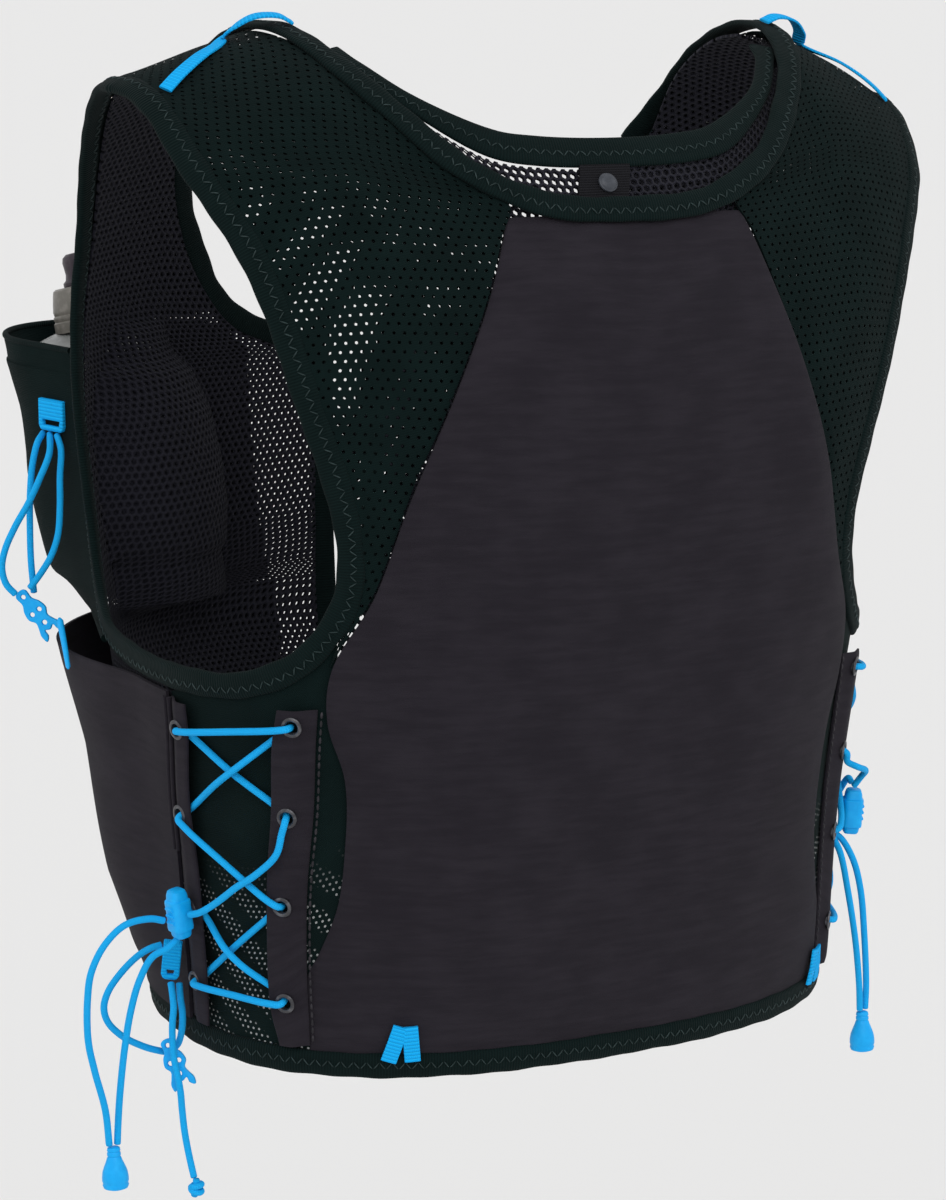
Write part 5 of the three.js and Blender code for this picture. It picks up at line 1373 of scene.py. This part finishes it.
def lace_route(side, name):
    chart = round_torso(side)
    r1, r2, r3, r4 = STRIPS["rear"]["eyelets"]
    f1, f2, f3, f4 = STRIPS["front"]["eyelets"]

    def on(turn, down, lift):
        return lifted(chart, np.float64(turn), np.float64(down), lift)

    def part_way(a, b, t, lift):
        return on(a[0] + (b[0] - a[0]) * t, a[1] + (b[1] - a[1]) * t, lift)

    def off(e, to, length, lift):
        apart = np.linalg.norm(chart(e[0], e[1]) - chart(to[0], to[1]))
        return part_way(e, to, length / apart, lift)

    def leave(e, to, steep, flat):
        return [off(e, to, 1.5, LACE[steep]), off(e, to, 6, LACE[flat])]

    def above(e, to):
        return leave(e, to, "steep_over", "over")

    def below(e, to):
        return leave(e, to, "steep_under", "beneath")

    def over(a, b):
        return [*above(a, b), part_way(a, b, 0.5, LACE["gap"]), *above(b, a)[::-1]]

    def under(a, b, shares, lift):
        return [*below(a, b), *[part_way(a, b, t, lift) for t in shares], *below(b, a)[::-1]]

    lock = LOCKS[name]
    first, finish = lock["strand"][0], lock["finish"]
    route = [on(*q) for q in lock["strand"][::-1]] + above(r2, first)[::-1]
    route += under(r2, f1, [0.5], LACE["beneath"]) + over(f1, r1)
    route += under(r1, f2, [0.4, 0.6], LACE["cross"]) + over(f2, r3)
    route += under(r3, f4, [0.5], LACE["beneath"]) + over(f4, r4)
    route += under(r4, f3, [0.4, 0.6], LACE["cross"])
    if name == "right":
        route += above(f3, finish[0])
    return np.array(route + [on(*q) for q in finish])


def cord_lock(name, side):
    """A small spring lock: a barrel with a waist, a raised cap and a slot on its face."""
    turn, down, lift = LOCKS[name]["at"]
    chart = round_torso(side)
    top, end = lifted(chart, turn, down - 10, lift), lifted(chart, turn, down + 10, lift)
    facing = normal_at(chart, np.float64(turn), np.float64(down - 10))
    steps = [(0.0, 0.58, 0.55), (0.02, 0.70, 0.68), (0.10, 0.80, 0.80), (0.20, 0.84, 0.84),
             (0.22, 0.97, 0.97), (0.27, 1.0, 1.0), (0.45, 0.98, 0.95), (0.55, 0.98, 0.95),
             (0.78, 1.0, 1.0), (0.83, 0.96, 0.96), (0.85, 0.82, 0.80), (0.95, 0.76, 0.74),
             (0.99, 0.66, 0.62), (1.0, 0.5, 0.48)]
    share_along, wide, deep = np.array(steps).T
    points = top + (end - top) * share_along[:, None]
    outline = sized(oval(1, 1, 32, 0, 3.6), wide * 9, deep * 9)
    across, up = frames_along(points, np.broadcast_to(facing, points.shape))
    parts = [swept_patches(points, across, up, outline)]
    for along in (0.36, 0.5, 0.64):
        middle = top + (end - top) * along + up[0] * 4.35
        line = np.stack([middle - across[0] * LOCK_BAR / 2, middle + across[0] * LOCK_BAR / 2])
        parts.append(strand(line, np.broadcast_to(up[0], (2, 3)), oval(1.3, 1.0, 10)))
    joined(f"spring_lock_{name}", parts, "moulding", [f"cord_lock_{name}"], 35)


def cord_bell(name):
    """Bell-shaped cord end: a ribbed neck over a wide flat skirt."""
    a, b = (np.array(p, float) for p in CORD_ENDS[name])
    profile = [(0.6, 0), (1.9, 0.1), (2.5, 0.5), (2.75, 1.6), (2.4, 2.1), (2.75, 2.6), (2.8, 3.6), (2.5, 4.1),
               (2.9, 4.7), (3.3, 6.0), (4.3, 8.4), (5.0, 10.4), (5.35, 12.6), (5.4, 14.4), (5.1, 15.2),
               (5.15, 15.8), (5.3, 16.3), (4.9, 17.4), (3.4, 18.0), (0.6, 18.0)]
    return turned(f"bell_cord_end_{name}", profile, a, b - a, "moulding", [f"cord_end_{name}"], 40, 0.8)


def lacing():
    for name, side in SIDES:
        rope(f"side_lace_{name}", lace_route(side, name), CORD, nodes=[f"lace_{name}"])
        for where in ("rear", "front"):
            eyelet_strip(f"{where}_lace_strip_{name}", side, STRIPS[where], [f"{where}_eyelet_strip_{name}"])
        strip_trim(name, side)
        cord_lock(name, side)
        bell = cord_bell(name)
        for tail in ("long", "short"):
            free_cord(f"lace_tail_{tail}_{name}", [bell])


def free_cord(node, with_pieces=()):
    route = np.array(FREE_CORDS[node], float)
    piece, line = rope(node + "_cord" if "cord" not in node else node + "_braid", route, CORD, nodes=[node])
    length = np.linalg.norm(np.diff(line, axis=0), axis=1).sum()
    tuple(line[0] * MM)
    (line * MM).tolist()
    return piece


# hooks, knot, toggle and tabs on the wearer's left


def plate_seat(name):
    a, b, width = PLATES[name]
    a, b = np.array(a, float), np.array(b, float)
    along = unit(b - a)
    side = unit(np.cross(along, POCKET_FACING if name == "upper_tab" else FACING))
    return seat(a, side, along, np.cross(side, along)), np.linalg.norm(b - a), width


def circle(x, y, radius, sides=16):
    angle = round_angles(sides)
    return np.stack([x + radius * np.cos(angle), y + radius * np.sin(angle)], -1)


def hook(name):
    """Moulded cord hook: a narrow neck, four holes and two curled claws."""
    matrix, length, width = plate_seat(name)
    w = width / 2
    left = [(-1.4, 0), (-2.6, 1.2), (-2.5, length * 0.22), (-w * 0.8, length * 0.34),
            (-w * 0.92, length * 0.5), (-w * 0.62, length * 0.62), (-w * 0.78, length * 0.74),
            (-w, length * 0.86), (-w * 0.9, length), (-w * 0.5, length * 0.93), (-w * 0.42, length * 0.82)]
    outline = spline(left + [(0, length * 0.86)] + [(-x, y) for x, y in left[::-1]], 5, True)
    places = ((0, 0.12, 1.0), (-1.9, 0.46, 1.0), (1.9, 0.46, 1.0), (0, 0.70, 1.05))
    holes = [circle(x, length * along, radius) for x, along, radius in places]
    return moulded(name + "_moulding", outline, holes, 2.2, 0.55, matrix, "moulding", [name])


def tape_tab(name):
    """A loop of webbing sewn down at its top."""
    matrix, length, width = plate_seat(name)
    w = width / 2
    outline = [(-w, 0.3), (-w, length - 2.2), (-w + 0.9, length - 0.4), (-w + 2, length), (w - 2, length),
               (w - 0.9, length - 0.4), (w, length - 2.2), (w, 0.3), (w - 0.5, 0), (-w + 0.5, 0)]
    top, low = length - 4.6, length - 2.2
    slot = [(-w + 2.1, top), (w - 2.1, top), (w - 2.6, low), (-w + 2.6, low)]
    return moulded(name + "_webbing", outline, [slot], 2.2, 0.5, matrix, "tape", [name])


def knot():
    """An overhand knot: two turns of the string round itself, with a short end."""
    at = np.array(STRING_KNOT, float)
    angle = np.linspace(0, 4 * math.pi, 49)
    turns = np.stack([2.1 * np.cos(angle), 2.1 * np.sin(angle), 1.5 * np.sin(angle / 2 + 0.4)], -1)
    line, profiles = round_ended(at + turns, 2.6, 12)
    parts = [strand(line, None, profiles)]
    core, sizes = round_ended(np.array([at + [0, 0, 3.6], at, at + [0.6, -0.6, -3.4]]), 2.8, 12)
    parts.append(strand(core, None, sizes))
    return joined("string_end_knot", parts, "cord", ["string_knot"], 70)


def toggle():
    line = spline(TOGGLE, 10)
    reach = np.linspace(0, 1, len(line))
    width = 2.9 - 1.0 * reach
    width[0], width[-1] = 1.2, 0.9
    outline = sized(oval(1, 1, 16), width, width)
    return swept("thin_toggle", line, None, outline, "moulding", ["upper_toggle"])


def left_closures():
    upper, lower = hook("upper_hook"), hook("lower_hook")
    stick = toggle()
    tape_tab("upper_tab")
    tape_tab("lower_tab")
    free_cord("upper_cord_1", [upper])
    free_cord("upper_cord_2", [upper])
    free_cord("upper_cord_3", [upper, stick])
    free_cord("lower_cord", [lower])
    free_cord("lower_string", [knot()])


# webbing loops, snap tab, flasks


def shoulder_loops():
    for name, side in SIDES:
        chart = over_shoulder(side)
        turn, run, rise = spline(LOOP, 8).T
        lift = KNIT_OUTER + 0.45 + rise
        points = lifted(chart, turn, run, lift)
        swept(f"shoulder_tape_{name}", points, normal_at(chart, turn, run), oval(6, 1.3, 16, 0.7, 4), "tape",
              [f"shoulder_loop_{name}"])


def hem_loops():
    for name, side, turn, feet in (("left", 1, 57, (-6.4, 3.2)), ("right", -1, 42, (-4.6, 4.6))):
        chart = round_torso(side)
        at, n = chart(turn, HEM_LOOP_DOWN), normal_at(chart, np.float64(turn), np.float64(HEM_LOOP_DOWN))
        up = unit(np.array([0, 0, 1.0]) - n * n[2])
        across = unit(np.cross(up, n))
        parts = []
        for way, step in zip((-1, 1), feet):
            foot = at + n * 2.9 + across * step
            head = at + n * 3.4 + across * way * 1.7 + up * 15
            line = np.stack([foot, foot * 0.5 + head * 0.5 + n * 0.4, head])
            parts.append(strand(line, np.broadcast_to(n, (3, 3)), oval(6.4, 1.2, 16, 0.0, 4)))
        joined(f"hem_tape_{name}", parts, "tape", [f"hem_loop_{name}"], 50)


def snap_tab():
    """Ribbed tape between the inner and the outer neck edge, with a press stud."""
    chart = round_torso(1)
    rows = [[87.1, 48.6, 90.65, 48.6], [86.9, 52, 90.5, 52], [86.55, 56, 90.3, 56], [86.2, 60.8, 90.1, 60.8]]
    grid = fine(ruled(chart, rows, 4), 4, 8)
    cloth("hanger_webbing", chart, grid, 0.4, 1.7, "black_tape", ["hanger_tab"])
    turn, down = np.float64(89.0), np.float64(55.4)
    profile = [(3.2, 0), (4.0, 0.1), (4.05, 0.5), (3.9, 0.8), (3.6, 0.85), (3.45, 1.0), (3.0, 1.45)]
    profile += [(2.0, 1.72), (1.0, 1.8), (0.1, 1.82)]
    base, way = lifted(chart, turn, down, 2.0), normal_at(chart, turn, down)
    turned("snap_cap", profile, base, way, "snap", ["snap"], 48)


def flasks():
    for name, side in SIDES:
        z = -spline(FLASK_ROWS[:, :1], 5)[:, 0] * LENGTH
        centre, out, across, radius = flask_at(side, z)
        radius = radius - 0.4
        angle = round_angles(FLASK_SIDES)
        ring = across[:, None] * np.cos(angle)[None, :, None] + out[:, None] * np.sin(angle)[None, :, None]
        dents = 1 + 0.012 * np.sin(3 * angle)[None] * np.sin(z / 21.0)[:, None]
        rings = centre[:, None] + ring * (radius[:, None] * dents)[..., None]
        index = np.arange(rings.shape[0] * FLASK_SIDES).reshape(-1, FLASK_SIDES)
        index = np.concatenate([index, index[:, :1]], 1)
        place = np.zeros((*index.shape, 2))
        ends = [(index[:1, :-1][:, ::-1], place[:1, :-1]), (index[-1:, :-1], place[-1:, :-1])]
        mesh_piece(f"soft_flask_{name}", rings.reshape(-1, 3), [quads(index, place), *ends], "film",
                   [f"flask_{name}"], 60)
        flask_top(name, side)


def flask_top(name, side):
    z = np.float64(-FLASK_ROWS[0, 0] * LENGTH)
    centre, out, _, _ = flask_at(side, z)
    axis = unit(out * 0.22 + np.array([0, 0, 1.0]))
    base = centre + np.array([0, 0, 0.7])
    collar = [(12.0, 0), (15.2, 0.2), (15.4, 1.0), (15.4, 4.6), (14.9, 5.1), (15.0, 5.8), (15.3, 6.4),
              (15.1, 7.4), (14.6, 7.8), (14.8, 8.6), (15.0, 9.4), (14.6, 12.5), (13.9, 16.5), (13.5, 18.2),
              (12.4, 19.0), (8.4, 19.3)]
    turned(f"flask_collar_{name}", collar, base, axis, "collar", [f"flask_cap_{name}"], 56)
    valve = [(8.3, 18.8), (8.6, 19.6), (8.6, 21), (7.4, 22.2), (7.0, 24.5), (7.3, 27.5), (7.6, 29.5),
             (7.2, 31.6), (5.6, 33.0), (3.0, 33.3), (0.4, 33.2)]
    turned(f"bite_valve_{name}", valve, base, axis, "valve", sides=48)


# room


# metres and degrees
FLOOR_HALF, FLOOR_DROP = 300, -1.25
HEADING, PITCH, ROLL = 28.75, 11.6, 1.0
CAMERA_AT = (0.6787, 1.2245, 0.055)
FOCAL_PIXELS, PICTURE_PIXELS, SENSOR = 3426, 1200, 36.0


def studio():
    floor = bpy.data.meshes.new("floor")
    corners = [(x * FLOOR_HALF, y * FLOOR_HALF, FLOOR_DROP) for x, y in ((-1, -1), (1, -1), (1, 1), (-1, 1))]
    floor.from_pydata(corners, [], [(0, 1, 2, 3)])
    paint = Paint("pale_floor", (0.82, 0.815, 0.805), 0.9, specular_ior_level=0.0)
    floor.materials.append(paint.material)
    in_scene("floor", floor)
    world = bpy.data.worlds.new("soft_room")
    world.use_nodes = True
    sky = world.node_tree.nodes["Background"]
    sky.inputs["Color"].default_value = (0.98, 0.985, 1.0, 1)
    sky.inputs["Strength"].default_value = 0.70
    bpy.context.scene.world = world
    for name, energy, spread, aim in (
        ("key_softbox", 1.1, 50, (-0.25, -0.75, -0.62)),
        ("side_softbox", 0.38, 60, (-0.85, 0.1, -0.45)),
        ("fill_softbox", 0.32, 70, (0.7, -0.6, -0.3)),
    ):
        lamp = bpy.data.lights.new(name, "SUN")
        lamp.energy, lamp.angle = energy, math.radians(spread)
        in_scene(name, lamp).rotation_euler = Vector(aim).to_track_quat("-Z", "Y").to_euler()


def camera():
    """The photograph's viewing angle: behind the wearer's left shoulder, a little above the hem."""
    turn, pitch, roll = (math.radians(degrees) for degrees in (HEADING, PITCH, ROLL))
    look = Vector((-math.sin(turn) * math.cos(pitch), -math.cos(turn) * math.cos(pitch), -math.sin(pitch)))
    right = Vector((-math.cos(turn), math.sin(turn), 0))
    up = right.cross(look)
    right, up = right * math.cos(roll) + up * math.sin(roll), up * math.cos(roll) - right * math.sin(roll)
    lens = bpy.data.cameras.new("photo_camera")
    lens.lens, lens.sensor_width, lens.clip_end = FOCAL_PIXELS * SENSOR / PICTURE_PIXELS, SENSOR, 1000.0
    view = in_scene("photo_camera", lens)
    rows = [(right[k], up[k], -look[k], CAMERA_AT[k]) for k in range(3)]
    view.matrix_world = Matrix((*rows, (0, 0, 0, 1)))
    bpy.context.scene.camera = view


camera()
lacing()
left_closures()
bindings()
neck_lining()
back_mesh()
back_panel()
yokes()
front_panels()
pockets()
side_panels()
shoulder_loops()
hem_loops()
snap_tab()
flasks()
studio()
bpy.context.scene.view_settings.view_transform = "Standard"
